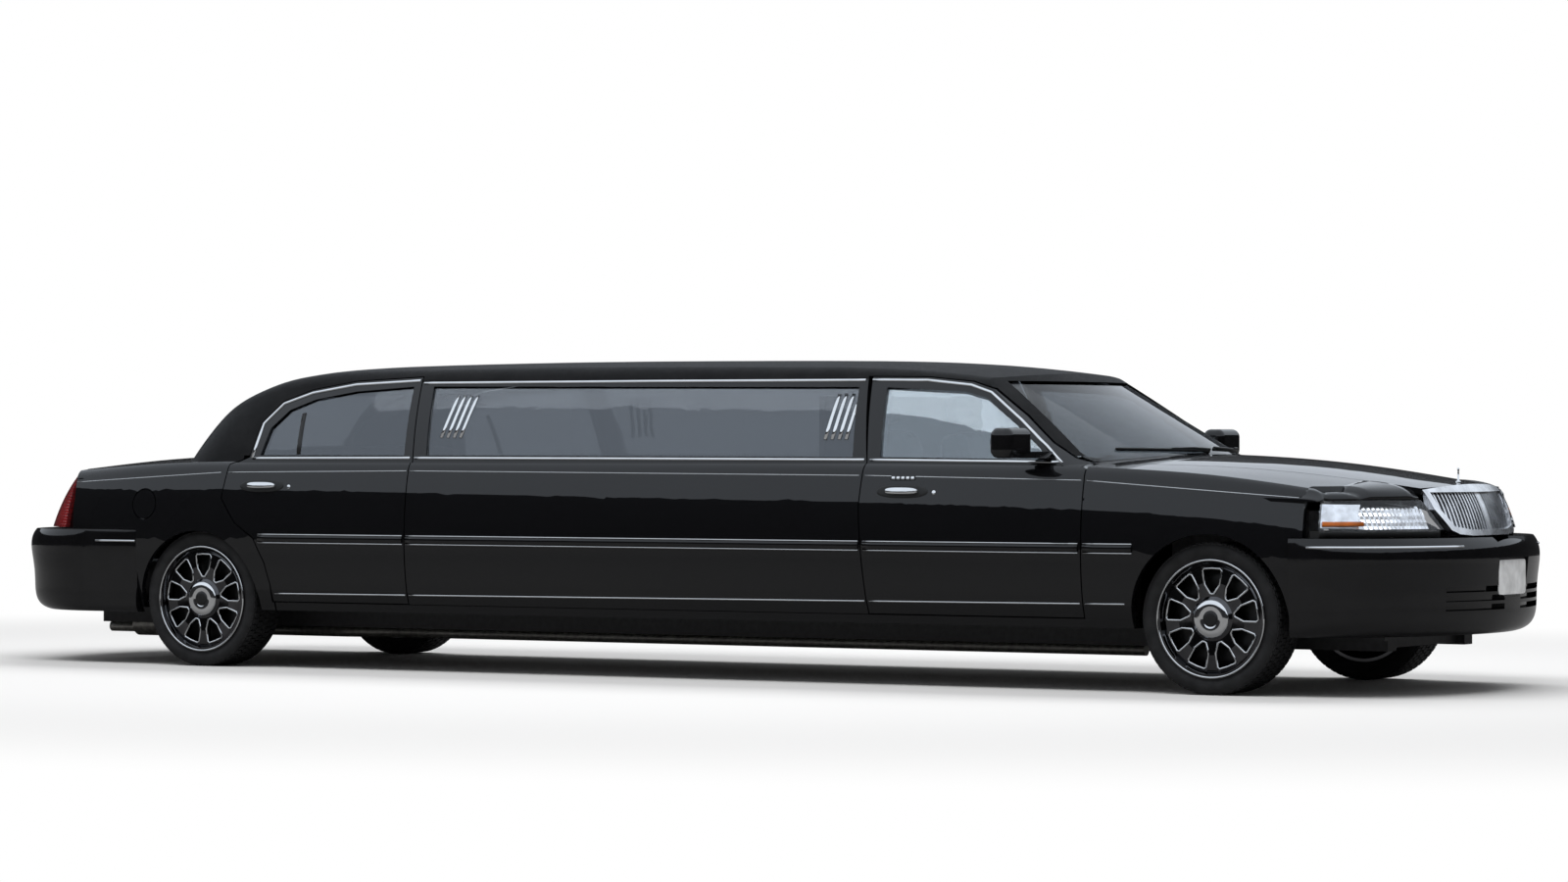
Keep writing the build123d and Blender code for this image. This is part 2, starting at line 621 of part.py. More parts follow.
front_half = front_track / 2
arm_low, arm_top = 170, 478
arm_thick = 19
arms = None
for s in (-1, 1):
    root = rail_y + rail_half + seat_gap
    tip = 810
    low_plan = [(front_axle - 130, s * root), (front_axle + 130, s * root), (front_axle + 45, s * tip),
                (front_axle - 45, s * tip)]
    low_arm = plan_prism(low_plan, arm_low, rail_low - seat_gap)
    foot_y_span = sorted((s * root, s * (root + 20)))
    low_arm = low_arm + box(front_axle - 110, front_axle + 110, *foot_y_span, arm_low, 240)
    top_plan = [(front_axle - 110, s * 500), (front_axle + 110, s * 500), (front_axle + 35, s * tip),
                (front_axle - 35, s * tip)]
    top_arm = plan_prism(top_plan, arm_top, arm_top + arm_thick)
    post = box(front_axle - 60, front_axle + 60, s * rail_y - 40, s * rail_y + 40, rail_top + seat_gap, 520)
    link_y = sorted((s * rail_y, s * 520))
    link = box(front_axle - 60, front_axle + 60, *link_y, arm_top, arm_top + arm_thick)
    both = low_arm + (top_arm + post + link)
    arms = both if arms is None else arms + both
parts["front_suspension"] = arms

pipe_z, pipe_r, pipe_y, tail_y = 160, 27, 230, 300
muffler_z, muffler_r, muffler_front, muffler_rear = 178, 62, -2950, -3460
pipes = None
for s in (-1, 1):
    run = tube([(2300, s * pipe_y, pipe_z), (-1900, s * pipe_y, pipe_z), (-2150, s * tail_y, pipe_z),
                (muffler_front - 20, s * tail_y, pipe_z)], pipe_r)
    run = run + cyl_x(muffler_rear, muffler_front, s * tail_y, muffler_z, muffler_r)
    run = run + cyl_x(-3640, muffler_rear, s * tail_y, pipe_z, pipe_r)
    for x in bar_rear_ends[1:5]:
        hook = x + bar_long / 2
        run = run + box(hook - 12, hook + 12, s * pipe_y - 8, s * pipe_y + 8, pipe_z, bar_low - seat_gap)
    pipes = run if pipes is None else pipes + run
parts["exhaust"] = pipes

trunk_floor = box(-3620, -2300, -790, 790, trunk_low, trunk_top)
for y0, y1 in ((-1200, -560), (560, 1200)):
    trunk_floor = trunk_floor - cyl_y(rear_axle, y0, y1, axle_z, 400)
for x in (-3500, -2900):
    for y in (-rail_y, rail_y):
        trunk_floor = trunk_floor + cyl_z(x, y, rail_top + seat_gap, trunk_low + 1, 32)
parts["trunk_floor"] = trunk_floor
parts["fuel_tank"] = box(-3420, -2960, -360, 360, floor_z, trunk_low - seat_gap)
bulkhead = box(-2330, -2300, -740, 740, trunk_top, 960)
for y0, y1 in ((-1200, -560), (560, 1200)):
    bulkhead = bulkhead - cyl_y(rear_axle, y0, y1, axle_z, 400)
parts["rear_bulkhead"] = bulkhead

# Cabin furniture.
seat_z = floor_z + floor_thick
dash_face = 2000
dashboard = box(dash_face, floor_front - seat_gap, -760, 760, 640, 960)
parts["dashboard"] = dashboard - box(1900, 2200, -760, 760, 600, 720)
wheel_y, wheel_x, wheel_z = -380, 1830, 850
ring_r, grip_r, wheel_lean = 185, 15, -65
turns = [radians(45 * i + 22.5) for i in range(8)]
grip = [(ring_r + grip_r * cos(t), grip_r * sin(t)) for t in turns]
ring = revolve(Face(Wire.make_polygon([Vector(r, 0, z) for r, z in grip], close=True)), Axis.Z)
hub = Cylinder(60, 40) + Box(2 * ring_r, 36, 14) + Pos(0, -ring_r / 2, 0) * Box(36, ring_r, 14)
column_r = 26
lean_sin, lean_cos = sin(radians(-wheel_lean)), cos(radians(wheel_lean))
column_end = (dash_face - seat_gap - wheel_x - column_r * lean_cos) / lean_sin
column = Pos(0, 0, -(column_end + 20) / 2) * Cylinder(column_r, column_end - 20)
steering = ring + hub + column
parts["steering_wheel"] = Pos(wheel_x, wheel_y, wheel_z) * Rot(0, wheel_lean, 0) * steering

cushion_z = seat_z + 260
seat_base = box(1180, 1720, -240, 240, seat_z, cushion_z)
seat_back = Pos(1180, 0, seat_z + 200) * Rot(0, -14, 0) * (Pos(0, 0, 330) * Box(150, 480, 660))
head = Pos(1180, 0, seat_z + 200) * Rot(0, -14, 0) * (Pos(0, 0, 735) * Box(100, 260, 150))
front_seat = seat_base + seat_back + head
parts["front_seats"] = Compound(children=[Pos(0, y, 0) * front_seat for y in (-400, 400)])

over_tunnel = box(-far, far, -tunnel_half - seat_gap, tunnel_half + seat_gap, 0, tunnel_top + seat_gap)
parts["partition"] = box(880, 910, -760, 760, seat_z, 1320) - over_tunnel
bench = box(-2140, -1500, -760, 760, seat_z, cushion_z) + box(-2296, -2060, -730, 730, seat_z + 180, 1120)
bench = bench + box(-1500, 300, 260, 784, seat_z, cushion_z) + box(-1500, 300, 664, 784, seat_z + 200, 985)
parts["j_bench"] = bench - over_tunnel
parts["bar_cabinet"] = box(-1250, 820, -784, -470, seat_z, 900)

# Wheels.


def turned(points):
    # Solid of revolution about Y from (radius, y) points.
    wire = Wire.make_polygon([Vector(r, y, 0) for r, y in points], close=True)
    return revolve(Face(wire), Axis.Y)


def wheel_set(x, s, track):
    y0 = s * track / 2
    half = tyre_width / 2
    profile = [
        (bead_radius + seat_gap, -98), (bead_radius + 16, -99), (295, -half), (tyre_radius - 7, -106),
        (tyre_radius, -94), (tyre_radius, 94), (tyre_radius - 7, 106), (295, half), (bead_radius + 16, 99),
        (bead_radius + seat_gap, 98),
    ]
    tyre = turned(profile)
    rim_profile = [
        (bead_radius - barrel_wall, -100), (bead_radius, -100), (bead_radius, 100), (rim_radius, 100),
        (rim_radius, 112), (bead_radius - 6, 114), (bead_radius - barrel_wall, 96),
    ]
    rim = turned(rim_profile)
    disc_profile = [
        (0, 48), (0, 104), (82, 104), (98, 92), (160, 98), (226, 92), (bead_radius - 5, 84),
        (bead_radius - 5, 66), (226, 70), (120, 58), (84, 48),
    ]
    disc = turned(disc_profile)
    holes = []
    lip_y_in = 90
    grown = [(104, -14), (146, -40), (226, -53), (226, 53), (146, 40), (104, 14)]
    for i in range(spokes):
        angle = 90 + i * 360 / spokes
        window = [(112, -10), (150, -34), (218, -46), (218, 46), (150, 34), (112, 10)]
        shape = Wire.make_polygon([Vector(r, y, 0) for r, y in window], close=True)
        border = Wire.make_polygon([Vector(r, y, lip_y_in) for r, y in grown], close=True)
        hole = Solid.extrude(Face(shape), Vector(0, 0, 200))
        hole = hole + Solid.extrude(Face(border), Vector(0, 0, 100))
        holes.append(Rot(0, -angle, 0) * (Rot(-90, 0, 0) * hole))
    disc = disc - Compound(children=holes)
    hub_back = cyl_y(0, -hub_inner, 52, 0, 70)
    rotor = cyl_y(0, -28, 0, 0, brake_radius)
    wheel = rim + disc + hub_back + rotor
    if s < 0:
        tyre = mirror(tyre, Plane.XZ)
        wheel = mirror(wheel, Plane.XZ)
    place = Pos(x, y0, tyre_radius)
    return place * tyre, place * wheel


for end, x, track in (("front", front_axle, front_track), ("rear", rear_axle, rear_track)):
    for side, s in (("right", -1), ("left", 1)):
        tyre, wheel = wheel_set(x, s, track)
        parts[end + "_tyre_" + side] = tyre
        parts[end + "_wheel_" + side] = wheel

# Knuckles: an upright with an ear at each ball joint and a stub towards the hub.
ear_low, ear_high, ear_thick = rail_low, arm_top - seat_gap, 13
for side, s in (("right", -1), ("left", 1)):
    inner, outer = sorted((s * (front_half - 110), s * (front_half - 46)))
    upright = box(front_axle - 45, front_axle + 45, inner, outer, ear_low, ear_high)
    reach = sorted((s * (front_half - 60), s * (kingpin_y + 25)))
    for z0, z1 in ((ear_low, ear_low + ear_thick), (ear_high - ear_thick + 2, ear_high)):
        upright = upright + box(front_axle - 30, front_axle + 30, *reach, z0, z1)
    stub = sorted((s * (front_half - 60), s * (front_half - hub_inner - seat_gap)))
    parts["knuckle_" + side] = upright + cyl_y(front_axle, *stub, axle_z, 40)

# Mirrors on the front doors.
mirror_x, mirror_y, mirror_z = 2050, -1078, 1104
mirror_long, mirror_wide, mirror_tall = 112, 226, 136
mirror_shell = fillet(Box(mirror_long, mirror_wide, mirror_tall).edges(), 38)
mirror_shell = Pos(mirror_x, mirror_y, mirror_z) * mirror_shell
mirror_arm = box(2070, 2150, mirror_y + 40, -860, 1036, 1066)
mirror_right = (mirror_shell + mirror_arm) - [lower_out, cabin_out]
mirror_right = mirror_right.solids().sort_by(SortBy.VOLUME)[-1]
parts["mirror_right"], parts["mirror_left"] = right_left(mirror_right)

for name, shape in parts.items():
    export_step(shape, "parts/" + name + ".step")
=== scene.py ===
import bpy
import bmesh
import json
from math import cos, pi, radians, sin
from mathutils import Matrix, Vector
from mathutils.bvhtree import BVHTree


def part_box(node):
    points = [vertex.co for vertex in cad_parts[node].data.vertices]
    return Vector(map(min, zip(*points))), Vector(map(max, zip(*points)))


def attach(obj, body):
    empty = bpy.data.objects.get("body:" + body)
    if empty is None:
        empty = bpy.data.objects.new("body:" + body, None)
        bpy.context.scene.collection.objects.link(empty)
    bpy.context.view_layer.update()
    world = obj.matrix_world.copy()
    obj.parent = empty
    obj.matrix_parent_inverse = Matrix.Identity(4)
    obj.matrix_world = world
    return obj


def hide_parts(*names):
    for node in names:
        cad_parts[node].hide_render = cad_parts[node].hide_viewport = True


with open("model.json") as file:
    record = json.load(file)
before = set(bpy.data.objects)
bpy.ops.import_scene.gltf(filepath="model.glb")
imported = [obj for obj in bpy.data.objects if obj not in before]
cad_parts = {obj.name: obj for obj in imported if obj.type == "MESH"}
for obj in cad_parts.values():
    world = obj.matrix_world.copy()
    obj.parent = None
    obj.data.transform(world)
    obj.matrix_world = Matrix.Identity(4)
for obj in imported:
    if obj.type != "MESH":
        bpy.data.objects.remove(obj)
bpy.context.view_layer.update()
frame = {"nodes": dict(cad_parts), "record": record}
nodes = frame["nodes"]
scene = bpy.context.scene
scene.view_settings.view_transform = "Standard"
print("frame loaded:", len(nodes), "nodes")

# photograph's camera, from the wheels and the tyre contacts
cameraSet = {
    "place": (12.128, -19.928, 1.087),
    "yaw": 30.83,
    "pitch": 0.07,
    "focalPixels": 4906,
    "imageWide": 1600,
}


def placeCamera():
    data = bpy.data.cameras.new("camera")
    cam = bpy.data.objects.new("camera", data)
    scene.collection.objects.link(cam)
    yaw, pitch = radians(cameraSet["yaw"]), radians(cameraSet["pitch"])
    look = Vector((-sin(yaw) * cos(pitch), cos(yaw) * cos(pitch), sin(pitch)))
    cam.location = cameraSet["place"]
    cam.rotation_mode = "QUATERNION"
    cam.rotation_quaternion = look.to_track_quat("-Z", "Y")
    data.sensor_width = 36
    data.lens = cameraSet["focalPixels"] / cameraSet["imageWide"] * data.sensor_width
    data.clip_end = 200
    scene.camera = cam


placeCamera()


class Shade:
    # a socket that can be added, multiplied and so on, in one material's tree
    def __init__(self, tree, socket=None):
        self.tree = tree
        self.socket = socket

    def put(self, plug, value):
        if isinstance(value, Shade):
            self.tree.links.new(value.socket, plug)
        elif plug.type == "RGBA" and len(value) == 3:
            plug.default_value = (*value, 1)
        else:
            plug.default_value = value

    def make(self, kind, settings=None, out=0, **sockets):
        node = self.tree.nodes.new(kind)
        for key, value in (settings or {}).items():
            if key == "stops":
                ramp = node.color_ramp
                while len(ramp.elements) < len(value):
                    ramp.elements.new(0.5)
                for element, (place, colour) in zip(ramp.elements, value):
                    element.position = place
                    element.color = (*colour, 1)
            else:
                setattr(node, key, value)
        for key, value in sockets.items():
            byNumber = key[0] == "i" and key[1:].isdigit()
            plug = node.inputs[int(key[1:])] if byNumber else node.inputs[key.replace("_", " ")]
            self.put(plug, value)
        return Shade(self.tree, node.outputs[out])

    def math(self, operation, other, flip=False):
        first, second = (other, self) if flip else (self, other)
        return self.make("ShaderNodeMath", {"operation": operation}, i0=first, i1=second)

    def __add__(self, other):
        return self.math("ADD", other)

    def __radd__(self, other):
        return self.math("ADD", other, True)

    def __mul__(self, other):
        return self.math("MULTIPLY", other)

    def __rmul__(self, other):
        return self.math("MULTIPLY", other, True)


def newMaterial(name):
    material = bpy.data.materials.new(name)
    material.use_nodes = True
    tree = material.node_tree
    base = tree.nodes["Principled BSDF"]
    return material, Shade(tree), base


def setBase(base, **values):
    for key, value in values.items():
        plug = base.inputs[key.replace("_", " ")]
        plug.default_value = (*value, 1) if plug.type == "RGBA" and len(value) == 3 else value


def objectPlace(shade):
    return shade.make("ShaderNodeTexCoord", out=3)


def grain(shade, scale, detail=3):
    return shade.make("ShaderNodeTexNoise", Vector=objectPlace(shade), Scale=scale, Detail=detail)


def roughGrain(shade, base, scale, low, high):
    # roughness that drifts a little over the surface
    shade.put(base.inputs["Roughness"], low + grain(shade, scale) * (high - low))


def toneGrain(shade, base, scale, dark, light):
    # colour that drifts between two tones
    stops = [(0.35, dark), (0.65, light)]
    tone = shade.make("ShaderNodeValToRGB", {"stops": stops}, Fac=grain(shade, scale))
    shade.put(base.inputs["Base Color"], tone)


def bumpGrain(shade, base, height, strength, distance):
    bump = shade.make("ShaderNodeBump", Strength=strength, Distance=distance, Height=height)
    shade.put(base.inputs["Normal"], bump)


def makePaint():
    material, shade, base = newMaterial("blackPaint")
    setBase(base, Specular_IOR_Level=0.03, Coat_Weight=1.0, Coat_Roughness=0.012, Coat_IOR=1.5)
    toneGrain(shade, base, 900, (0.0022, 0.0023, 0.0028), (0.0042, 0.0044, 0.0054))
    roughGrain(shade, base, 3, 0.32, 0.40)
    return material


def makeVinyl():
    material, shade, base = newMaterial("vinylRoof")
    setBase(base, Specular_IOR_Level=0.12)
    toneGrain(shade, base, 7, (0.0035, 0.0035, 0.0038), (0.007, 0.007, 0.0075))
    cells = shade.make("ShaderNodeTexVoronoi", Vector=objectPlace(shade), Scale=420)
    roughGrain(shade, base, 40, 0.52, 0.66)
    bumpGrain(shade, base, cells, 0.45, 0.0012)
    return material


def makeChrome():
    material, shade, base = newMaterial("brightChrome")
    setBase(base, Metallic=1.0)
    toneGrain(shade, base, 9, (0.76, 0.77, 0.785), (0.83, 0.84, 0.85))
    roughGrain(shade, base, 6, 0.04, 0.09)
    return material


# the specular tint colours what the glass reflects: a painted reflection colour
def makeGlass(name, tint, ior=1.45, coat=0.0, paintedReflectTint=(1, 1, 1)):
    material, shade, base = newMaterial(name)
    setBase(base, Base_Color=tint, Transmission_Weight=1.0, IOR=ior, Coat_Weight=coat, Specular_Tint=paintedReflectTint)
    roughGrain(shade, base, 2, 0.0, 0.015)
    return material


def makePlain(name, colour, low, high, metal=0.0, scale=20, bump=0.0, shine=0.5):
    material, shade, base = newMaterial(name)
    setBase(base, Metallic=metal, Specular_IOR_Level=shine)
    toneGrain(shade, base, scale * 2, [c * 0.82 for c in colour], [c * 1.15 for c in colour])
    roughGrain(shade, base, scale, low, high)
    if bump:
        bumpGrain(shade, base, grain(shade, scale * 12), bump, 0.001)
    return material


def makeRubber():
    material, shade, base = newMaterial("tyreRubber")
    setBase(base, Specular_IOR_Level=0.3)
    toneGrain(shade, base, 14, (0.010, 0.010, 0.0105), (0.017, 0.017, 0.018))
    roughGrain(shade, base, 30, 0.6, 0.8)
    bumpGrain(shade, base, grain(shade, 160), 0.25, 0.001)
    return material


def makeWood():
    material, shade, base = newMaterial("cabinetWood")
    settings = {"bands_direction": "Z"}
    place = objectPlace(shade)
    waves = shade.make("ShaderNodeTexWave", settings, Vector=place, Scale=9, Distortion=6, Detail=3)
    stops = [(0.1, (0.045, 0.018, 0.008)), (0.9, (0.12, 0.05, 0.02))]
    shade.put(base.inputs["Base Color"], shade.make("ShaderNodeValToRGB", {"stops": stops}, Fac=waves))
    setBase(base, Coat_Weight=0.7, Coat_Roughness=0.08)
    roughGrain(shade, base, 12, 0.3, 0.42)
    return material


def makeLeather():
    material, shade, base = newMaterial("seatLeather")
    toneGrain(shade, base, 5, (0.018, 0.018, 0.020), (0.030, 0.030, 0.032))
    cells = shade.make("ShaderNodeTexVoronoi", Vector=objectPlace(shade), Scale=260)
    roughGrain(shade, base, 25, 0.38, 0.55)
    bumpGrain(shade, base, cells, 0.25, 0.0008)
    return material


def makeRedLens():
    material, shade, base = newMaterial("lampRed")
    toneGrain(shade, base, 60, (0.20, 0.004, 0.006), (0.34, 0.008, 0.010))
    setBase(base, Coat_Weight=1.0, Coat_Roughness=0.03)
    roughGrain(shade, base, 8, 0.12, 0.2)
    settings = {"bands_direction": "Z"}
    flutes = shade.make("ShaderNodeTexWave", settings, Vector=objectPlace(shade), Scale=22)
    bumpGrain(shade, base, flutes, 0.4, 0.002)
    return material


finish = {
    "black_paint": makePaint(),
    "vinyl_roof": makeVinyl(),
    "black_plastic": makePlain("bumperGloss", (0.004, 0.004, 0.0046), 0.05, 0.09, scale=4),
    # both glasses tint their reflections blue, a painted reflection colour
    "glass": makeGlass("clearGlass", (0.66, 0.72, 0.76), ior=2.25, paintedReflectTint=(0.86, 0.94, 1.0)),
    "tinted_glass": makeGlass("tintedGlass", (0.20, 0.21, 0.22), ior=1.95, paintedReflectTint=(0.86, 0.92, 1.0)),
    "chrome": makeChrome(),
    "tyre": makeRubber(),
    "frame_steel": makePlain("frameSteel", (0.03, 0.03, 0.032), 0.45, 0.65, metal=0.4, bump=0.1),
    "engine_iron": makePlain("engineIron", (0.18, 0.18, 0.18), 0.45, 0.6, metal=0.8, bump=0.1),
    "exhaust_steel": makePlain("exhaustSteel", (0.35, 0.34, 0.32), 0.3, 0.5, metal=0.9),
    "trim_dark": makePlain("trimDark", (0.018, 0.018, 0.019), 0.5, 0.7, bump=0.15),
    "leather": makeLeather(),
    "wood": makeWood(),
    "lamp_clear": makeGlass("lampLens", (0.95, 0.96, 0.98), ior=1.05, coat=1.0),
    "lamp_red": makeRedLens(),
}
extra = {
    "amber": makePlain("lampAmber", (0.55, 0.13, 0.01), 0.12, 0.2, scale=8),
    "plate": makePlain("plateWhite", (0.72, 0.73, 0.74), 0.35, 0.45, scale=6),
    "reflector": makePlain("lampBowl", (0.86, 0.87, 0.89), 0.16, 0.26, metal=1.0, scale=10),
    # wheel faces in near-black chrome: painted shade that stands in for the dark surroundings the wheels
    # reflect
    "wheel": makePlain("wheelChromePaintedDark", (0.10, 0.10, 0.105), 0.05, 0.09, metal=1.0, scale=6),
    "grille": makePlain("grilleChrome", (0.80, 0.81, 0.83), 0.22, 0.32, metal=1.0, scale=6),
    "screen": makeGlass("screenGlass", (0.14, 0.15, 0.16), ior=1.3),
    "softBlack": makePlain("softBlack", (0.006, 0.006, 0.006), 0.35, 0.5, scale=30),
}
for row in frame["record"]["subparts"]:
    mesh = nodes[row["node"]].data
    mesh.materials.clear()
    mesh.materials.append(finish[row["material_slot"]])
nodes["windscreen"].data.materials[0] = extra["screen"]
nodes["grille"].data.materials[0] = extra["grille"]
# the wheels take the near-black chrome, a painted reflection shade
for name in nodes:
    if "_wheel_" in name:
        nodes[name].data.materials[0] = extra["wheel"]
print("finishes given to", len(nodes), "nodes")


# places on the CAD surfaces
trees = {}


def treeOf(name):
    if name not in trees:
        mesh = nodes[name].data
        points = [v.co.copy() for v in mesh.vertices]
        trees[name] = BVHTree.FromPolygons(points, [list(p.vertices) for p in mesh.polygons])
    return trees[name]


def onRay(name, start, way):
    # point and outward normal where a ray meets a node, or the node's nearest point
    hit = treeOf(name).ray_cast(Vector(start), Vector(way).normalized())
    if hit[0] is None:
        hit = treeOf(name).find_nearest(Vector(start) + Vector(way))
    normal = -hit[1] if hit[1].dot(Vector(way)) > 0 else hit[1]
    return hit[0], normal


def onSide(name, side, x, z):
    return onRay(name, (x, side * 3, z), (0, -side * 2, 0))


def newPiece(name, mesh, body, slotName, material=None):
    mesh.materials.clear()
    mesh.materials.append(material or finish[slotName])
    piece = bpy.data.objects.new(name, mesh)
    scene.collection.objects.link(piece)
    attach(piece, body)
    return piece


def meshFrom(name, build, smooth=True):
    bm = bmesh.new()
    build(bm)
    bmesh.ops.remove_doubles(bm, verts=bm.verts, dist=1e-5)
    bmesh.ops.recalc_face_normals(bm, faces=bm.faces)
    for face in bm.faces:
        face.smooth = smooth and len(face.verts) <= 4
    mesh = bpy.data.meshes.new(name)
    bm.to_mesh(mesh)
    bm.free()
    return mesh


def joined(name, meshes):
    bm = bmesh.new()
    for mesh in meshes:
        bm.from_mesh(mesh)
    result = bpy.data.meshes.new(name)
    bm.to_mesh(result)
    bm.free()
    return result


def ringMesh(name, rings, capped=True, closed=False):
    # skin over rings of points; closed joins the last ring to the first
    def build(bm):
        made = [[bm.verts.new(p) for p in ring] for ring in rings]
        pairs = list(zip(made, made[1:])) + ([(made[-1], made[0])] if closed else [])
        count = len(made[0])
        for first, second in pairs:
            for k in range(count):
                bm.faces.new((first[k], first[(k + 1) % count], second[(k + 1) % count], second[k]))
        if capped and not closed:
            bm.faces.new(made[0])
            bm.faces.new(made[-1])

    return meshFrom(name, build)


def turned(name, profile, centre, closed=False, segments=72):
    # (radius, y) points turned about the Y axis through centre
    rings = []
    for radius, y in profile:
        spots = []
        for k in range(segments):
            t = 2 * pi * k / segments
            spots.append(Vector(centre) + Vector((radius * cos(t), y, radius * sin(t))))
        rings.append(spots)
    return ringMesh(name, rings, closed=closed)


def sampled(path, step):
    # points along a polyline, no further apart than step
    points = []
    for (x0, z0), (x1, z1) in zip(path, path[1:]):
        count = max(1, int(((x1 - x0) ** 2 + (z1 - z0) ** 2) ** 0.5 / step))
        points += [(x0 + (x1 - x0) * i / count, z0 + (z1 - z0) * i / count) for i in range(count)]
    return points + [path[-1]]


def stripOn(name, placed, wide, proud, sink=0.004):
    # half-round moulding along placed points, each with its normal
    rings = []
    for i, (spot, normal) in enumerate(placed):
        ahead = placed[min(i + 1, len(placed) - 1)][0] - placed[max(i - 1, 0)][0]
        across = normal.cross(ahead.normalized()).normalized()
        arc = []
        for k in range(7):
            u = -1 + 2 * k / 6
            rise = proud * (1 - u * u) ** 0.5 - sink * (abs(u) == 1)
            arc.append(spot + across * (u * wide / 2) + normal * rise)
        rings.append(arc)
    return ringMesh(name, rings)


def stripMesh(name, node, side, path, wide, proud, step=0.05, sink=0.004):
    placed = [onSide(node, side, x, z) for x, z in sampled(path, step)]
    return stripOn(name, placed, wide, proud, sink)


def patchAt(spot, normal):
    # directions along, up and out of the surface at a point
    along = Vector((1, 0, 0)) if abs(normal.x) < 0.8 else Vector((0, 1, 0))
    along = (along - normal * normal.dot(along)).normalized()
    up = normal.cross(along)
    return along, up if up.z > 0 else -up


domeRows = [(1.0, None), (1.0, 0.25), (0.975, 0.55), (0.91, 0.8), (0.76, 0.95), (0.45, 1.0), (0.12, 1.0)]


def dome(name, place, long, tall, proud, power=2.6, sink=0.006, segments=40):
    # crowned superellipse plate on a surface
    spot, normal = place
    along, up = patchAt(spot, normal)
    rings = []
    for share, rise in domeRows:
        ring = []
        for k in range(segments):
            t = 2 * pi * k / segments
            c, d = cos(t), sin(t)
            u = abs(c) ** (2 / power) * (1 if c > 0 else -1) * long / 2 * share
            v = abs(d) ** (2 / power) * (1 if d > 0 else -1) * tall / 2 * share
            ring.append(spot + along * u + up * v + normal * (-sink if rise is None else proud * rise))
        rings.append(ring)
    return ringMesh(name, rings)


def tubeAlong(name, points, radii, segments=12):
    # round bar through the points with a radius at each
    rings = []
    for i, point in enumerate(points):
        way = (Vector(points[min(i + 1, len(points) - 1)]) - Vector(points[max(i - 1, 0)])).normalized()
        first = way.orthogonal().normalized()
        second = way.cross(first)
        turn = [2 * pi * k / segments for k in range(segments)]
        rings.append([Vector(point) + (first * cos(t) + second * sin(t)) * radii[i] for t in turn])
    return ringMesh(name, rings)


# bright work along the sides
sides = {"right": -1, "left": 1}
windowTrim = {"wide": 0.017, "proud": 0.007}
archPaths = {  # (x, z) along each panel
    "front_door": [
        (2.205, 1.012), (2.115, 1.088), (1.955, 1.209), (1.772, 1.333),
        (1.662, 1.367), (1.44, 1.390), (1.155, 1.394),
    ],
    "rear_door": [
        (-1.378, 1.408), (-1.76, 1.391), (-2.015, 1.352),
        (-2.178, 1.300), (-2.268, 1.203), (-2.284, 1.03),
    ],
    "stretch_panels": [(1.118, 1.393), (0.0, 1.396), (-1.352, 1.396)],
}
beltPaths = {
    "front_door": [(2.20, 1.018), (1.235, 1.027)],
    "rear_door": [(-1.325, 1.032), (-2.28, 1.030)],
    "stretch_panels": [(1.205, 1.027), (0.0, 1.030), (-1.300, 1.032)],
}
moulding = {"wide": 0.041, "proud": 0.009, "z": 0.6375, "fineWide": 0.007, "fineProud": 0.0045}
mouldingRuns = {
    "front_door": (2.335, 1.238),
    "stretch_panels": (1.214, -1.299),
    "rear_door": (-1.320, -2.185),
    "fenders": (2.36, 2.60),
}
stripe = {"wide": 0.004, "proud": 0.0012}
stripeRuns = {
    "quarter_panels": [(-3.395, 0.909), (-2.44, 0.961)],
    "rear_door": [(-2.395, 0.962), (-1.32, 0.971)],
    "stretch_panels": [(-1.30, 0.971), (1.200, 0.957)],
    "front_door": [(1.228, 0.957), (2.335, 0.939)],
    "fenders": [(2.36, 0.938), (3.376, 0.866)],
}
rockerLine = {"wide": 0.008, "proud": 0.004}
rockerRuns = {
    "rear_door": [(-2.104, 0.368), (-1.32, 0.372)],
    "stretch_panels": [(-1.30, 0.372), (1.236, 0.386)],
    "front_door": [(1.258, 0.386), (2.335, 0.392)],
    "fenders": [(2.36, 0.392), (2.555, 0.393)],
}
operaBars = {"wide": 0.021, "proud": 0.006, "low": (1.13, 1.12), "high": (1.333, 1.33)}
operaFeet = [
    (-1.175, -1.134), (-1.137, -1.097), (-1.10, -1.06), (-1.063, -1.022),
    (0.971, 0.994), (1.008, 1.03), (1.045, 1.068), (1.082, 1.106),
]
glassDivider = {"run": [(-2.012, 1.052), (-2.045, 1.300)], "wide": 0.028, "proud": 0.006}
rearLine = {"run": [(-3.221, 0.617), (-2.97, 0.617)], "wide": 0.012, "proud": 0.005}


def nodeFor(panel, side):
    return panel + "_" + side if panel.endswith("door") else panel


def bodyFor(panel, side):
    return panel + "_" + side if panel.endswith("door") else "body"


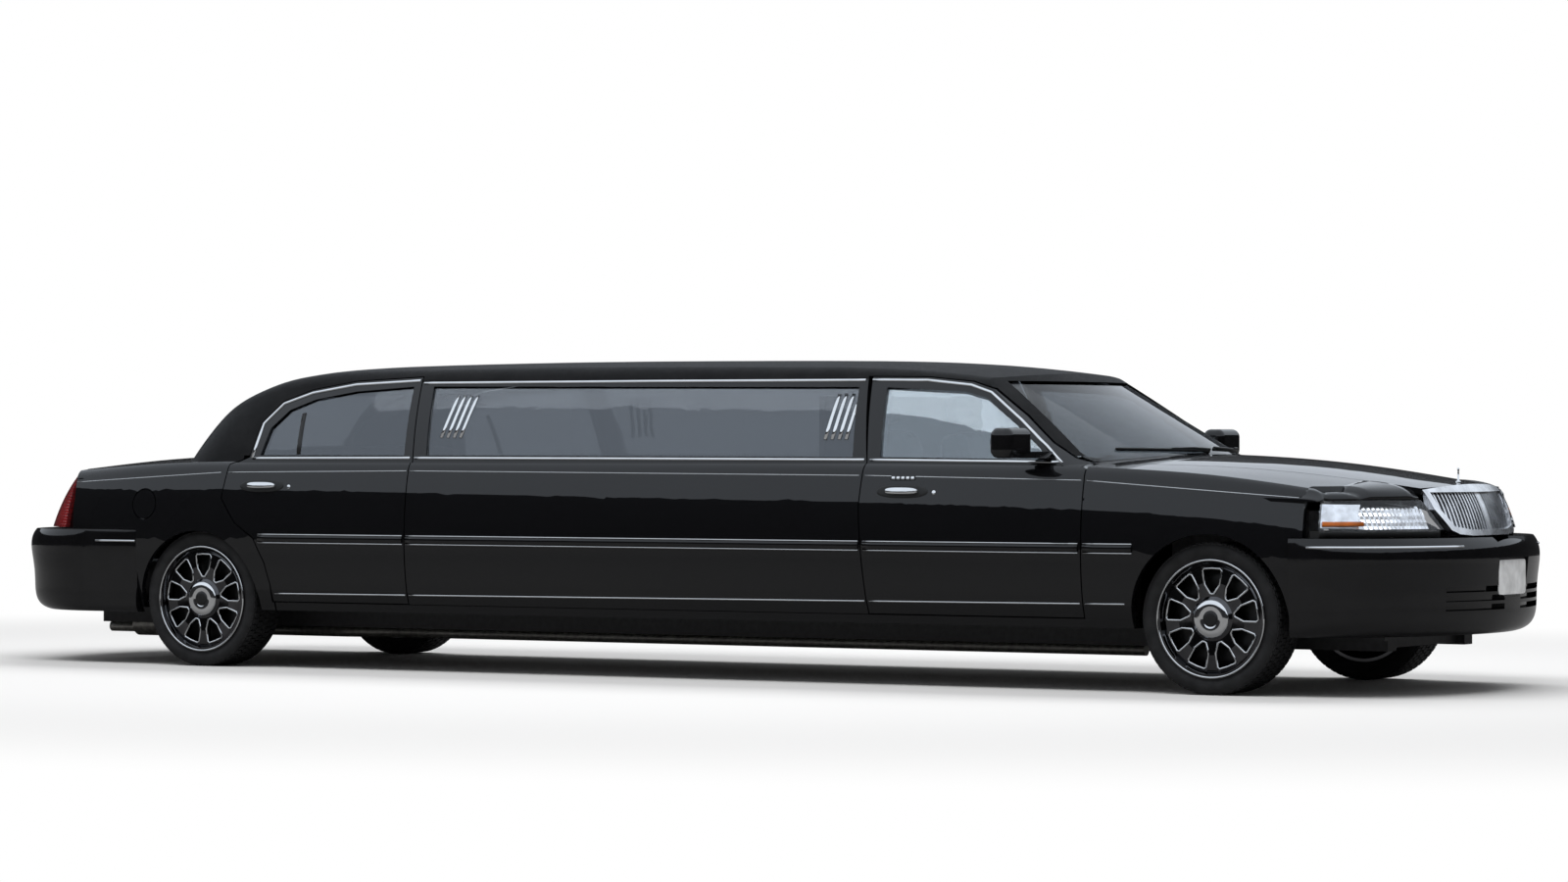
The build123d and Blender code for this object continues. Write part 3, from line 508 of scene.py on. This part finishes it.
def addTrim():
    for side, sign in sides.items():
        def lay(tag, panel, path, wide, proud, slotName, sink=0.004):
            mesh = stripMesh(tag, nodeFor(panel, side), sign, path, wide, proud, sink=sink)
            newPiece(tag + "." + panel + "." + side, mesh, bodyFor(panel, side), slotName)

        for panel, path in archPaths.items():
            lay("windowArch", panel, path, windowTrim["wide"], windowTrim["proud"], "chrome")
            lay("beltTrim", panel, beltPaths[panel], windowTrim["wide"], windowTrim["proud"], "chrome")
        for panel, (x0, x1) in mouldingRuns.items():
            z, wide, half = moulding["z"], moulding["wide"], moulding["wide"] / 2
            lay("moulding", panel, [(x0, z), (x1, z)], wide, moulding["proud"], "black_plastic", 0.001)
            for tag, shift in (("mouldingTop", half), ("mouldingFoot", -half)):
                run = [(x0, z + shift), (x1, z + shift)]
                lay(tag, panel, run, moulding["fineWide"], moulding["fineProud"], "chrome", 0.001)
        for panel, run in stripeRuns.items():
            lay("pinstripe", panel, run, stripe["wide"], stripe["proud"], "chrome", 0.001)
        for panel, run in rockerRuns.items():
            lay("rockerLine", panel, run, rockerLine["wide"], rockerLine["proud"], "chrome", 0.001)
        for number, (foot, top) in enumerate(operaFeet):
            end = 0 if foot < 0 else 1
            run = [(foot, operaBars["low"][end]), (top, operaBars["high"][end])]
            wide, proud = operaBars["wide"], operaBars["proud"]
            mesh = stripMesh("operaBar", "stretch_glass", sign, run, wide, proud, sink=0.002)
            newPiece("operaBar." + str(number) + "." + side, mesh, "body", "chrome")
        run, wide, proud = glassDivider.values()
        mesh = stripMesh("divider", "rear_glass_" + side, sign, run, wide, proud, sink=0.002)
        newPiece("glassDivider." + side, mesh, "rear_door_" + side, "black_plastic", extra["softBlack"])
        run, wide, proud = rearLine.values()
        mesh = stripMesh("bumperLine", "rear_bumper", sign, run, wide, proud, sink=0.001)
        newPiece("bumperLine.rear." + side, mesh, "body", "chrome")


addTrim()
print("trim laid on the sides")


# door handles, keypad and mirrors
handle = {
    "recess": (0.265, 0.062, 0.003),
    "grip": (0.172, 0.034, 0.026),
    "lock": 0.021,
    "lockShift": (0.165, -0.004),
}
handlePlaces = {"front_door": (1.432, 0.885), "rear_door": (-2.177, 0.896)}
keypad = {
    "place": (1.431, 0.946),
    "size": (0.132, 0.024, 0.003),
    "count": 5,
    "pitch": 0.025,
    "button": (0.018, 0.014, 0.005),
}
mirrorFace = {"x": 1.992, "y": 1.078, "z": 1.104, "size": (0.168, 0.092)}


def addHandles():
    for side, sign in sides.items():
        for panel, (x, z) in handlePlaces.items():
            body = panel + "_" + side
            place = onSide(body, sign, x, z)
            mesh = dome("recess", place, *handle["recess"], power=2.4)
            newPiece("handleRecess." + body, mesh, body, "black_plastic", extra["softBlack"])
            mesh = dome("grip", place, *handle["grip"], power=3.2)
            newPiece("handleGrip." + body, mesh, body, "chrome")
            along, up = handle["lockShift"]
            place = onSide(body, sign, x + along, z + up)
            mesh = dome("lock", place, handle["lock"], handle["lock"], 0.004, power=2)
            newPiece("doorLock." + body, mesh, body, "chrome")
        body = "front_door_" + side
        if side == "right":
            x, z = keypad["place"]
            mesh = dome("keypad", onSide(body, sign, x, z), *keypad["size"], power=6)
            newPiece("keypad", mesh, body, "black_plastic", extra["softBlack"])
            for k in range(keypad["count"]):
                place = onSide(body, sign, x + (k - keypad["count"] // 2) * keypad["pitch"], z)
                mesh = dome("button", place, *keypad["button"], power=5)
                newPiece("keypadButton." + str(k), mesh, body, "chrome")
        spot = Vector((mirrorFace["x"], sign * mirrorFace["y"], mirrorFace["z"]))
        mesh = dome("mirrorGlass", (spot, Vector((-1, 0, 0))), *mirrorFace["size"], 0.002, power=4)
        newPiece("mirrorGlass." + side, mesh, body, "chrome")


addHandles()
print("handles and mirrors placed")


# tyres: moulded shoulders and a ring of tread blocks
tyreProfile = [  # radius, half width
    (0.2503, 0.098), (0.262, 0.1035), (0.2665, 0.1055), (0.2685, 0.1045), (0.275, 0.1090), (0.290, 0.1155),
    (0.303, 0.1172), (0.315, 0.1155), (0.3235, 0.111), (0.3285, 0.104), (0.3275, 0.094),
]
treadRows = [
    # across, block width, top radius, turn
    (-0.1005, 0.016, 0.330, 0.0),
    (-0.083, 0.034, 0.3346, 0.5),
    (-0.042, 0.034, 0.3346, 0.0),
    (0.0, 0.034, 0.3346, 0.5),
    (0.042, 0.034, 0.3346, 0.0),
    (0.083, 0.034, 0.3346, 0.5),
    (0.1005, 0.016, 0.330, 0.0),
]
tread = {"count": 66, "long": 0.025, "deep": 0.010}


def treadTree():
    tree = bpy.data.node_groups.new("treadRing", "GeometryNodeTree")
    ids = {}
    kinds = {"Count": "Int", "Radius": "Float", "Block": "Vector", "Turn": "Vector", "Shift": "Vector"}
    kinds["Rubber"] = "Material"
    for name, kind in kinds.items():
        socket = tree.interface.new_socket(name, in_out="INPUT", socket_type="NodeSocket" + kind)
        ids[name] = socket.identifier
    tree.interface.new_socket("Geometry", in_out="OUTPUT", socket_type="NodeSocketGeometry")
    made = {}
    for key, kind in {
        "start": "NodeGroupInput", "ring": "GeometryNodeMeshCircle", "block": "GeometryNodeMeshCube",
        "place": "GeometryNodeInputPosition", "aim": "FunctionNodeAlignRotationToVector",
        "copies": "GeometryNodeInstanceOnPoints", "real": "GeometryNodeRealizeInstances",
        "stand": "GeometryNodeTransform", "paint": "GeometryNodeSetMaterial", "end": "NodeGroupOutput",
    }.items():
        made[key] = tree.nodes.new(kind)
    made["aim"].axis = "X"
    for source, plug, target, socket in [
        ("start", "Count", "ring", "Vertices"), ("start", "Radius", "ring", "Radius"),
        ("start", "Block", "block", "Size"), ("place", "Position", "aim", "Vector"),
        ("ring", "Mesh", "copies", "Points"), ("block", "Mesh", "copies", "Instance"),
        ("aim", "Rotation", "copies", "Rotation"), ("copies", "Instances", "real", "Geometry"),
        ("real", "Geometry", "stand", "Geometry"), ("start", "Turn", "stand", "Rotation"),
        ("start", "Shift", "stand", "Translation"), ("stand", "Geometry", "paint", "Geometry"),
        ("start", "Rubber", "paint", "Material"), ("paint", "Geometry", "end", "Geometry"),
    ]:
        tree.links.new(made[source].outputs[plug], made[target].inputs[socket])
    return tree, ids


def nodesMesh(tree, ids, values):
    # plain mesh of a node tree with these input values
    mesh = bpy.data.meshes.new("seed")
    holder = bpy.data.objects.new("seed", mesh)
    scene.collection.objects.link(holder)
    modifier = holder.modifiers.new("nodes", "NODES")
    modifier.node_group = tree
    for name, value in values.items():
        modifier[ids[name]] = value
    bpy.context.view_layer.update()
    graph = bpy.context.evaluated_depsgraph_get()
    result = bpy.data.meshes.new_from_object(holder.evaluated_get(graph))
    holder.modifiers.clear()
    bpy.data.objects.remove(holder)
    return result


def addTyres():
    tree, ids = treadTree()
    pitch = 2 * pi / tread["count"]
    for end in ("front", "rear"):
        for side in sides:
            node = end + "_tyre_" + side
            low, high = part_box(node)
            centre = (low + high) / 2
            profile = tyreProfile + [(r, -y) for r, y in reversed(tyreProfile)]
            meshes = [turned("casing", profile, centre, closed=True, segments=96)]
            for across, wide, top, turn in treadRows:
                values = {
                    "Count": tread["count"],
                    "Radius": top - tread["deep"] / 2,
                    "Block": (tread["deep"], tread["long"], wide),
                    "Turn": (pi / 2, turn * pitch, 0.0),
                    "Shift": (centre.x, centre.y + across, centre.z),
                    "Rubber": finish["tyre"],
                }
                meshes.append(nodesMesh(tree, ids, values))
            body = end + "_wheel_" + side
            piece = newPiece("tyre." + end + "." + side, joined("tyre", meshes), body, "tyre")
            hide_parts(node)


addTyres()
print("tyres treaded")

# wheel caps: a low dome with a dark plain centre, and a shield behind; (radius, out from the middle)
capProfile = [
    (0.084, 0.100), (0.084, 0.106), (0.078, 0.1095),
    (0.060, 0.1120), (0.040, 0.1130), (0.036, 0.1110),
]
capCentre = [(0.0365, 0.1080), (0.0355, 0.1125), (0.024, 0.1145), (0.006, 0.1150)]
shieldProfile = [
    (0.072, 0.018), (0.120, 0.022), (0.150, 0.034), (0.232, 0.030),
    (0.234, 0.024), (0.150, 0.028), (0.120, 0.016),
]


def addCaps():
    for end in ("front", "rear"):
        for side, sign in sides.items():
            low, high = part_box(end + "_tyre_" + side)
            centre = (low + high) / 2
            body = end + "_wheel_" + side
            for tag, profile, slotName, material in (
                ("capDome", capProfile, "chrome", None),
                ("capCentre", capCentre, "black_plastic", extra["softBlack"]),
            ):
                mesh = turned(tag, [(r, sign * y) for r, y in profile], centre, segments=56)
                newPiece(tag + "." + body, mesh, body, slotName, material)
            mesh = turned("dustShield", [(r, sign * y) for r, y in shieldProfile], centre, closed=True)
            newPiece("dustShield." + body, mesh, body, "black_plastic", extra["softBlack"])


# bright edges of the wheel windows and of the rim
windowEdge = [  # radius, half width
    (0.108, 0.0), (0.109, 0.009), (0.148, 0.036), (0.209, 0.047), (0.2195, 0.040), (0.2215, 0.0),
]
edgeBar = {
    "radius": 0.0052, "rise": 0.0925, "count": 9,
    "rimRadius": 0.2575, "rimRise": 0.1115, "rimPoints": 96,
}


def loopBar(name, points, radius, segments=8):
    # round bar along a closed loop
    rings = []
    count = len(points)
    for i, point in enumerate(points):
        way = (points[(i + 1) % count] - points[i - 1]).normalized()
        first = way.cross(Vector((0, 1, 0))).normalized()
        second = way.cross(first)
        turn = [2 * pi * k / segments for k in range(segments)]
        rings.append([point + (first * cos(t) + second * sin(t)) * radius for t in turn])
    return ringMesh(name, rings, closed=True)


def addWheelEdges():
    outline = windowEdge + [(r, -w) for r, w in reversed(windowEdge[1:-1])]
    for end in ("front", "rear"):
        for side, sign in sides.items():
            low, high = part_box(end + "_tyre_" + side)
            centre = (low + high) / 2
            body = end + "_wheel_" + side
            meshes = []
            for i in range(edgeBar["count"]):
                t = pi / 2 + 2 * pi * i / edgeBar["count"]
                out, across = Vector((cos(t), 0, sin(t))), Vector((-sin(t), 0, cos(t)))
                lift = Vector((0, sign * edgeBar["rise"], 0))
                points = [centre + lift + out * r + across * w for r, w in outline]
                meshes.append(loopBar("edge", points, edgeBar["radius"]))
            lift = Vector((0, sign * edgeBar["rimRise"], 0))
            turn = [2 * pi * k / edgeBar["rimPoints"] for k in range(edgeBar["rimPoints"])]
            rim = [centre + lift + Vector((cos(t), 0, sin(t))) * edgeBar["rimRadius"] for t in turn]
            meshes.append(loopBar("edge", rim, edgeBar["radius"]))
            newPiece("wheelEdges." + body, joined("wheelEdges", meshes), body, "chrome")


addCaps()
addWheelEdges()
print("wheels dressed")

# front end: lamp bowls, corner reflectors, plate, pin, wipers
farAhead = 4.3


def gridShell(name, rows, thick):
    # closed shell over a grid of points with their normals
    columns, levels = len(rows) - 1, len(rows[0]) - 1

    def build(bm):
        front = [[bm.verts.new(p) for p, n in row] for row in rows]
        back = [[bm.verts.new(p - n * thick) for p, n in row] for row in rows]
        for i in range(columns):
            for j in range(levels):
                for grid in (front, back):
                    bm.faces.new((grid[i][j], grid[i + 1][j], grid[i + 1][j + 1], grid[i][j + 1]))
        rim = [(i, 0) for i in range(columns)] + [(columns, j) for j in range(levels)]
        rim += [(i, levels) for i in range(columns, 0, -1)] + [(0, j) for j in range(levels, 0, -1)]
        for (a, b), (c, d) in zip(rim, rim[1:] + rim[:1]):
            bm.faces.new((front[a][b], front[c][d], back[c][d], back[a][b]))

    return meshFrom(name, build, smooth=False)


def spread(ends, count):
    return [ends[0] + (ends[1] - ends[0]) * i / count for i in range(count + 1)]


def fromAhead(node, y, z):
    return onRay(node, (farAhead, y, z), (-0.8, 0, 0))


bowl = {
    "deep": 0.034, "thick": 0.003, "across": (0.462, 0.915), "columns": 46,
    "up": (0.738, 0.842), "levels": 7, "ripple": 0.004, "rippleEnd": 0.78,
    "along": (3.470, 3.600), "sideColumns": 12, "sideDeep": 0.016,
}


def lampBowl(sign):
    # rippled ahead, smooth round the corner
    rows = []
    for i, y in enumerate(spread(bowl["across"], bowl["columns"])):
        row = []
        for j, z in enumerate(spread(bowl["up"], bowl["levels"])):
            spot, normal = fromAhead("headlamps", sign * y, z)
            ripple = bowl["ripple"] * ((i % 2) + (j % 2)) if y < bowl["rippleEnd"] else 0
            row.append((spot - normal * (bowl["deep"] + ripple), normal))
        rows.append(row)
    return gridShell("lampBowl", rows, bowl["thick"])


def lampSide(sign):
    rows = []
    for x in spread(bowl["along"], bowl["sideColumns"]):
        places = [onSide("headlamps", sign, x, z) for z in spread(bowl["up"], bowl["levels"])]
        rows.append([(spot - normal * bowl["sideDeep"], normal) for spot, normal in places])
    return gridShell("lampSide", rows, bowl["thick"])


sill = {"across": (0.415, 0.925), "count": 24, "top": 0.7235, "low": 0.6905, "inset": 0.006, "deep": 0.05}


def lampSill(sign):
    # dark filler between the lamp and the bumper
    rings = []
    top, low = sill["top"], sill["low"]
    for y in spread(sill["across"], sill["count"]):
        lens = fromAhead("headlamps", sign * y, top + 0.004)[0]
        front, back = lens.x - sill["inset"], lens.x - sill["deep"]
        corners = [(front - 0.004, top), (front, top - 0.006), (front - 0.002, low), (back, low), (back, top)]
        rings.append([Vector((x, sign * y, z)) for x, z in corners])
    return ringMesh("lampSill", rings)


brow = {"across": (0.468, 0.925), "count": 24, "top": [(0.476, 0.854), (0.70, 0.856), (1.02, 0.846)]}


def lampTop(y):
    # height of the lens's upper edge
    (y0, z0), (y1, z1), (y2, z2) = brow["top"]
    return z0 + (z1 - z0) * (y - y0) / (y1 - y0) if y < y1 else z1 + (z2 - z1) * (y - y1) / (y2 - y1)


def lampBrow(sign):
    # painted edge that carries the fender down to the lamp's front
    rings = []
    for y in spread(brow["across"], brow["count"]):
        z = lampTop(y)
        lens = fromAhead("headlamps", sign * y, z - 0.004)[0]
        wall = fromAhead("fenders", sign * y, z + 0.014)[0]
        crest = onRay("fenders", (wall.x - 0.006, sign * y, 2), (0, 0, -1.1))[0]
        front, back = lens.x - 0.002, min(crest.x, lens.x - 0.02)
        arc = []
        for k in range(9):
            t = k / 8 * pi / 2
            arc.append(Vector((back + (front - back) * sin(t), sign * y, z + (crest.z - z) * cos(t) ** 0.8)))
        rings.append(arc + [Vector((back - 0.01, sign * y, z + 0.001))])
    return ringMesh("lampBrow", rings)


corner = {"run": [(3.475, 0.753), (3.62, 0.753)], "wide": 0.022, "proud": 0.003}
frontLine = {
    "centre": (3.33, 0, 0.652), "from": 84, "sweep": 49, "count": 12, "wide": 0.014, "proud": 0.005,
}


def frontBumperLine(sign):
    # bright line round the bumper's corner
    placed = []
    for k in range(frontLine["count"] + 1):
        t = radians(frontLine["from"] - frontLine["sweep"] * k / frontLine["count"])
        way = Vector((cos(t), sign * sin(t), 0))
        placed.append(onRay("front_bumper", Vector(frontLine["centre"]) + way * 3, way * -2.3))
    return stripOn("bumperLine", placed, frontLine["wide"], frontLine["proud"], 0.001)


def addLamps():
    for side, sign in sides.items():
        newPiece("lampBrow." + side, lampBrow(sign), "body", "black_paint")
        newPiece("lampSill." + side, lampSill(sign), "body", "black_plastic", extra["softBlack"])
        newPiece("lampBowl." + side, lampBowl(sign), "body", "lamp_clear", extra["reflector"])
        newPiece("lampSide." + side, lampSide(sign), "body", "lamp_clear", extra["reflector"])
        run, wide, proud = corner.values()
        mesh = stripMesh("cornerReflector", "headlamps", sign, run, wide, proud, sink=0.002)
        newPiece("cornerReflector." + side, mesh, "body", "lamp_clear", extra["amber"])
        newPiece("bumperLine.front." + side, frontBumperLine(sign), "body", "chrome")


plate = {"front": (3.9885, 0.0, 0.5125), "rearHeight": 0.80, "size": (0.305, 0.155)}


def addPlates():
    place = (Vector(plate["front"]), Vector((1, 0, 0)))
    mesh = dome("plate", place, *plate["size"], 0.005, power=14)
    newPiece("plate.front", mesh, "body", "black_plastic", extra["plate"])
    place = onRay("trunk_lid", (-4.6, 0, plate["rearHeight"]), (0.7, 0, 0))
    mesh = dome("plate", place, *plate["size"], 0.006, power=14, sink=0.012)
    newPiece("plate.rear", mesh, "trunk_lid", "black_plastic", extra["plate"])


pin = {
    "x": 3.732,
    "profile": [  # rise, radius
        (0.0, 0.013), (0.006, 0.012), (0.010, 0.005), (0.050, 0.0035), (0.062, 0.005), (0.068, 0.002),
    ],
}


def addPin():
    spot, normal = onRay("hood", (pin["x"], 0, 2), (0, 0, -1))
    points = [spot + Vector((0, 0, rise - 0.002)) for rise, radius in pin["profile"]]
    radii = [radius for rise, radius in pin["profile"]]
    newPiece("hoodPin", tubeAlong("hoodPin", points, radii, 20), "hood", "chrome")


wiper = {
    "runs": [((0.66, 1.062), (0.08, 1.078)), ((-0.02, 1.066), (-0.60, 1.074))],
    "count": 12, "wide": 0.014, "proud": 0.012, "armRadius": 0.006, "armTaper": 0.0004, "armBow": 0.01,
}


def addWipers():
    half = wiper["count"] // 2
    for number, ((y0, z0), (y1, z1)) in enumerate(wiper["runs"]):
        placed = []
        for k in range(wiper["count"] + 1):
            t = k / wiper["count"]
            placed.append(onRay("windscreen", (4, y0 + (y1 - y0) * t, z0 + (z1 - z0) * t), (-1.6, 0, 0)))
        mesh = stripOn("wiperBlade", placed, wiper["wide"], wiper["proud"], 0.001)
        newPiece("wiperBlade." + str(number), mesh, "body", "black_plastic", extra["softBlack"])
        points = []
        for k, (spot, normal) in enumerate(placed[:half + 1]):
            points.append(spot + normal * (wiper["proud"] + wiper["armBow"] * (0.5 - abs(0.5 - k / half))))
        radii = [wiper["armRadius"] - wiper["armTaper"] * k for k in range(half + 1)]
        mesh = tubeAlong("wiperArm", points, radii, 8)
        newPiece("wiperArm." + str(number), mesh, "body", "black_plastic", extra["softBlack"])


addLamps()
addPlates()
addPin()
addWipers()
print("front end dressed")

# seats: each cushion swollen as cloth, then sewn
stuffing = {
    "shrink": 0.010, "cap": 0.016, "pressure": 4.0, "frames": 14, "groove": 0.009, "grooveWide": 0.014,
}
seams = {"seat": (-0.14, 0.0, 0.14), "head": (0.0,), "bench": (-0.5, -0.25, 0.0, 0.25, 0.5),
         "side": (-0.6, -0.3, 0.0, 0.3, 0.6)}
frontSeatY = (-0.4, 0.4)
# face is the axis that is sat on or leant on, sew the axis along which its seams follow each other
cushions = {
    "frontBase": {
        "node": "front_seats", "size": (0.54, 0.48, 0.255), "at": (1.45, 0.0, 0.475), "lean": 0,
        "voxel": 0.013, "face": 2, "sew": 1, "seams": seams["seat"],
    },
    "frontBack": {
        "node": "front_seats", "size": (0.15, 0.48, 0.62), "at": (1.098, 0.0, 0.874), "lean": -14,
        "voxel": 0.013, "face": 0, "sew": 1, "seams": seams["seat"],
    },
    "frontHead": {
        "node": "front_seats", "size": (0.10, 0.26, 0.15), "at": (1.0022, 0.0, 1.2582), "lean": -14,
        "voxel": 0.010, "face": 0, "sew": 2, "seams": seams["head"],
    },
    "rearBase": {
        "node": "j_bench", "size": (0.64, 1.50, 0.255), "at": (-1.82, 0.0, 0.475), "lean": 0,
        "voxel": 0.017, "face": 2, "sew": 1, "seams": seams["bench"],
    },
    "rearBack": {
        "node": "j_bench", "size": (0.235, 1.46, 0.59), "at": (-2.178, 0.0, 0.822), "lean": 0,
        "voxel": 0.017, "face": 0, "sew": 1, "seams": seams["bench"],
    },
    "sideBase": {
        "node": "j_bench", "size": (1.79, 0.40, 0.255), "at": (-0.60, 0.462, 0.475), "lean": 0,
        "voxel": 0.017, "face": 2, "sew": 0, "seams": seams["side"],
    },
    "sideBack": {
        "node": "j_bench", "size": (1.79, 0.118, 0.43), "at": (-0.60, 0.724, 0.766), "lean": 0,
        "voxel": 0.017, "face": 1, "sew": 0, "seams": seams["side"],
    },
}


def cushionStart(size):
    # crowned block whose sides pull in between its corners
    bm = bmesh.new()
    bmesh.ops.create_cube(bm, size=2)
    bmesh.ops.subdivide_edges(bm, edges=bm.edges, cuts=11, use_grid_fill=True)
    half = [s / 2 - stuffing["shrink"] for s in size]
    for v in bm.verts:
        reach = sum(abs(c) ** 7 for c in v.co) ** (1 / 7)
        v.co = Vector([c / reach * h for c, h in zip(v.co, half)])
    mesh = bpy.data.meshes.new("cushion")
    bm.to_mesh(mesh)
    bm.free()
    return mesh


def swell(piece, voxel):
    remesh = piece.modifiers.new("remesh", "REMESH")
    remesh.mode, remesh.voxel_size = "VOXEL", voxel
    bpy.context.view_layer.update()
    graph = bpy.context.evaluated_depsgraph_get()
    piece.data = bpy.data.meshes.new_from_object(piece.evaluated_get(graph))
    piece.modifiers.clear()
    before = [v.co.copy() for v in piece.data.vertices]
    cloth = piece.modifiers.new("cloth", "CLOTH")
    cloth.settings.use_pressure = True
    cloth.settings.uniform_pressure_force = stuffing["pressure"]
    cloth.settings.effector_weights.gravity = 0
    cloth.point_cache.frame_end = stuffing["frames"]
    for number in range(1, stuffing["frames"] + 1):
        scene.frame_set(number)
    graph = bpy.context.evaluated_depsgraph_get()
    mesh = bpy.data.meshes.new_from_object(piece.evaluated_get(graph))
    piece.modifiers.clear()
    scene.frame_set(1)
    for v, start in zip(mesh.vertices, before):
        move = v.co - start
        if move.length > stuffing["cap"]:
            v.co = start + move * (stuffing["cap"] / move.length)
    piece.data = mesh


def sew(mesh, size, face, across, lines):
    # grooves across the cushion's face, and held inside its own block
    for v in mesh.vertices:
        if v.co[face] > 0:
            near = min(abs(v.co[across] - line) for line in lines)
            share = min(1, v.co[face] / (size[face] / 2))
            v.co[face] -= stuffing["groove"] * share * max(0, 1 - near / stuffing["grooveWide"]) ** 0.7
        for k in range(3):
            v.co[k] = max(-size[k] / 2, min(size[k] / 2, v.co[k]))


def addSeats():
    for name, row in cushions.items():
        piece = bpy.data.objects.new(name, cushionStart(row["size"]))
        scene.collection.objects.link(piece)
        swell(piece, row["voxel"])
        mesh = piece.data
        face = row["face"]
        flip = face == 1
        if flip:
            mesh.transform(Matrix.Rotation(pi, 4, "Z"))
        sew(mesh, row["size"], face, row["sew"], row["seams"])
        if flip:
            mesh.transform(Matrix.Rotation(pi, 4, "Z"))
        mesh.transform(Matrix.Rotation(radians(row["lean"]), 4, "Y"))
        bpy.data.objects.remove(piece)
        for polygon in mesh.polygons:
            polygon.use_smooth = True
        spots = frontSeatY if row["node"] == "front_seats" else [row["at"][1]]
        for number, y in enumerate(spots):
            copy = mesh.copy()
            copy.transform(Matrix.Translation((row["at"][0], y, row["at"][2])))
            seat = newPiece("cushion." + name + "." + str(number), copy, "body", "leather")
            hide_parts(row["node"])


addSeats()
print("seats padded")

# studio: pale floor whose reflections are painted dark (painted reflection shade), soft lamps, white beyond,
# a dark card that only reflections see
studio = {
    "floorHalf": 60.0, "floorTone": 0.88, "floorReflectShade": 0.72, "floorFade": (1 / 7, 1 / 5, 0),
    "worldLight": 0.25, "skyTone": (0.84, 0.91, 1.0),
    "cardRadius": 26.0, "cardLow": -0.5, "cardHigh": 6.8, "cardSides": 64,
    "lampPower": 740, "lampSize": (16, 4), "lampPlace": (0, 4.5, 9),
}


def staged(name, mesh, material):
    mesh.materials.append(material)
    holder = bpy.data.objects.new(name, mesh)
    scene.collection.objects.link(holder)
    return holder


def makeFloor():
    mesh = bpy.data.meshes.new("floor")
    h = studio["floorHalf"]
    mesh.from_pydata([(-h, -h, 0), (h, -h, 0), (h, h, 0), (-h, h, 0)], [], [(0, 1, 2, 3)])
    material, shade, base = newMaterial("paleFloor")
    setBase(base, Base_Color=(studio["floorTone"],) * 3, Specular_IOR_Level=0.1)
    roughGrain(shade, base, 0.5, 0.85, 0.95)
    settings = {"operation": "MULTIPLY"}
    place = shade.make("ShaderNodeVectorMath", settings, i0=objectPlace(shade), i1=studio["floorFade"])
    away = shade.make("ShaderNodeVectorMath", {"operation": "LENGTH"}, out=1, i0=place)
    fade = shade.make("ShaderNodeMapRange", {"interpolation_type": "SMOOTHSTEP"}, Value=away, i1=0.8, i2=1.5)
    glow = shade.make("ShaderNodeEmission", Color=(1, 1, 1), Strength=1.0)
    # painted reflection shade: glossy rays see the floor mixed toward a near-black diffuse, so the car
    # reflects a dark floor
    dark = shade.make("ShaderNodeBsdfDiffuse", Color=(0.02, 0.02, 0.021))
    glossy = shade.make("ShaderNodeLightPath", out=3) * studio["floorReflectShade"]
    tree = material.node_tree
    cover = Shade(tree, base.outputs[0])
    for share, second in ((fade, glow), (glossy, dark)):
        mix = tree.nodes.new("ShaderNodeMixShader")
        for plug, part in zip(mix.inputs, (share, cover, second)):
            tree.links.new(part.socket, plug)
        cover = Shade(tree, mix.outputs[0])
    tree.links.new(cover.socket, tree.nodes["Material Output"].inputs["Surface"])
    staged("floor", mesh, material)


def makeCard():
    spots, faces, count = [], [], studio["cardSides"]
    for k in range(count):
        t = 2 * pi * k / count
        for z in (studio["cardLow"], studio["cardHigh"]):
            spots.append((studio["cardRadius"] * cos(t), studio["cardRadius"] * sin(t), z))
        a, b = 2 * k, 2 * ((k + 1) % count)
        faces.append((a, b, b + 1, a + 1))
    mesh = bpy.data.meshes.new("darkCard")
    mesh.from_pydata(spots, [], faces)
    card = staged("darkCard", mesh, makePlain("cardBlack", (0.02, 0.02, 0.021), 0.8, 0.9, scale=1))
    card.visible_camera = False
    card.visible_diffuse = False
    card.visible_shadow = False
    card.visible_transmission = False


def makeLight():
    world = bpy.data.worlds.new("studioWorld")
    scene.world = world
    world.use_nodes = True
    tree = world.node_tree
    shade = Shade(tree)
    path = tree.nodes.new("ShaderNodeLightPath")
    seen = Shade(tree, path.outputs["Is Camera Ray"])
    for name in ("Is Glossy Ray", "Is Transmission Ray"):
        seen = seen.math("MAXIMUM", Shade(tree, path.outputs[name]))
    back = tree.nodes["Background"]
    mix = tree.nodes.new("ShaderNodeMix")
    mix.data_type = "RGBA"
    shade.put(mix.inputs["Factor"], Shade(tree, path.outputs["Is Glossy Ray"]))
    mix.inputs[6].default_value = (1, 1, 1, 1)
    mix.inputs[7].default_value = (*studio["skyTone"], 1)
    tree.links.new(mix.outputs[2], back.inputs["Color"])
    shade.put(back.inputs["Strength"], studio["worldLight"] + seen * (1 - studio["worldLight"]))
    for name, sign in sides.items():
        lamp = bpy.data.lights.new("softLamp." + name, "AREA")
        lamp.shape = "RECTANGLE"
        lamp.size, lamp.size_y = studio["lampSize"]
        lamp.energy = studio["lampPower"]
        holder = bpy.data.objects.new(lamp.name, lamp)
        scene.collection.objects.link(holder)
        x, y, z = studio["lampPlace"]
        holder.location = (x, sign * y, z)
        holder.visible_glossy = False
        holder.rotation_mode = "QUATERNION"
        holder.rotation_quaternion = (Vector((0, 0, 1)) - holder.location).to_track_quat("-Z", "Y")


makeFloor()
makeCard()
makeLight()
print("studio ready")
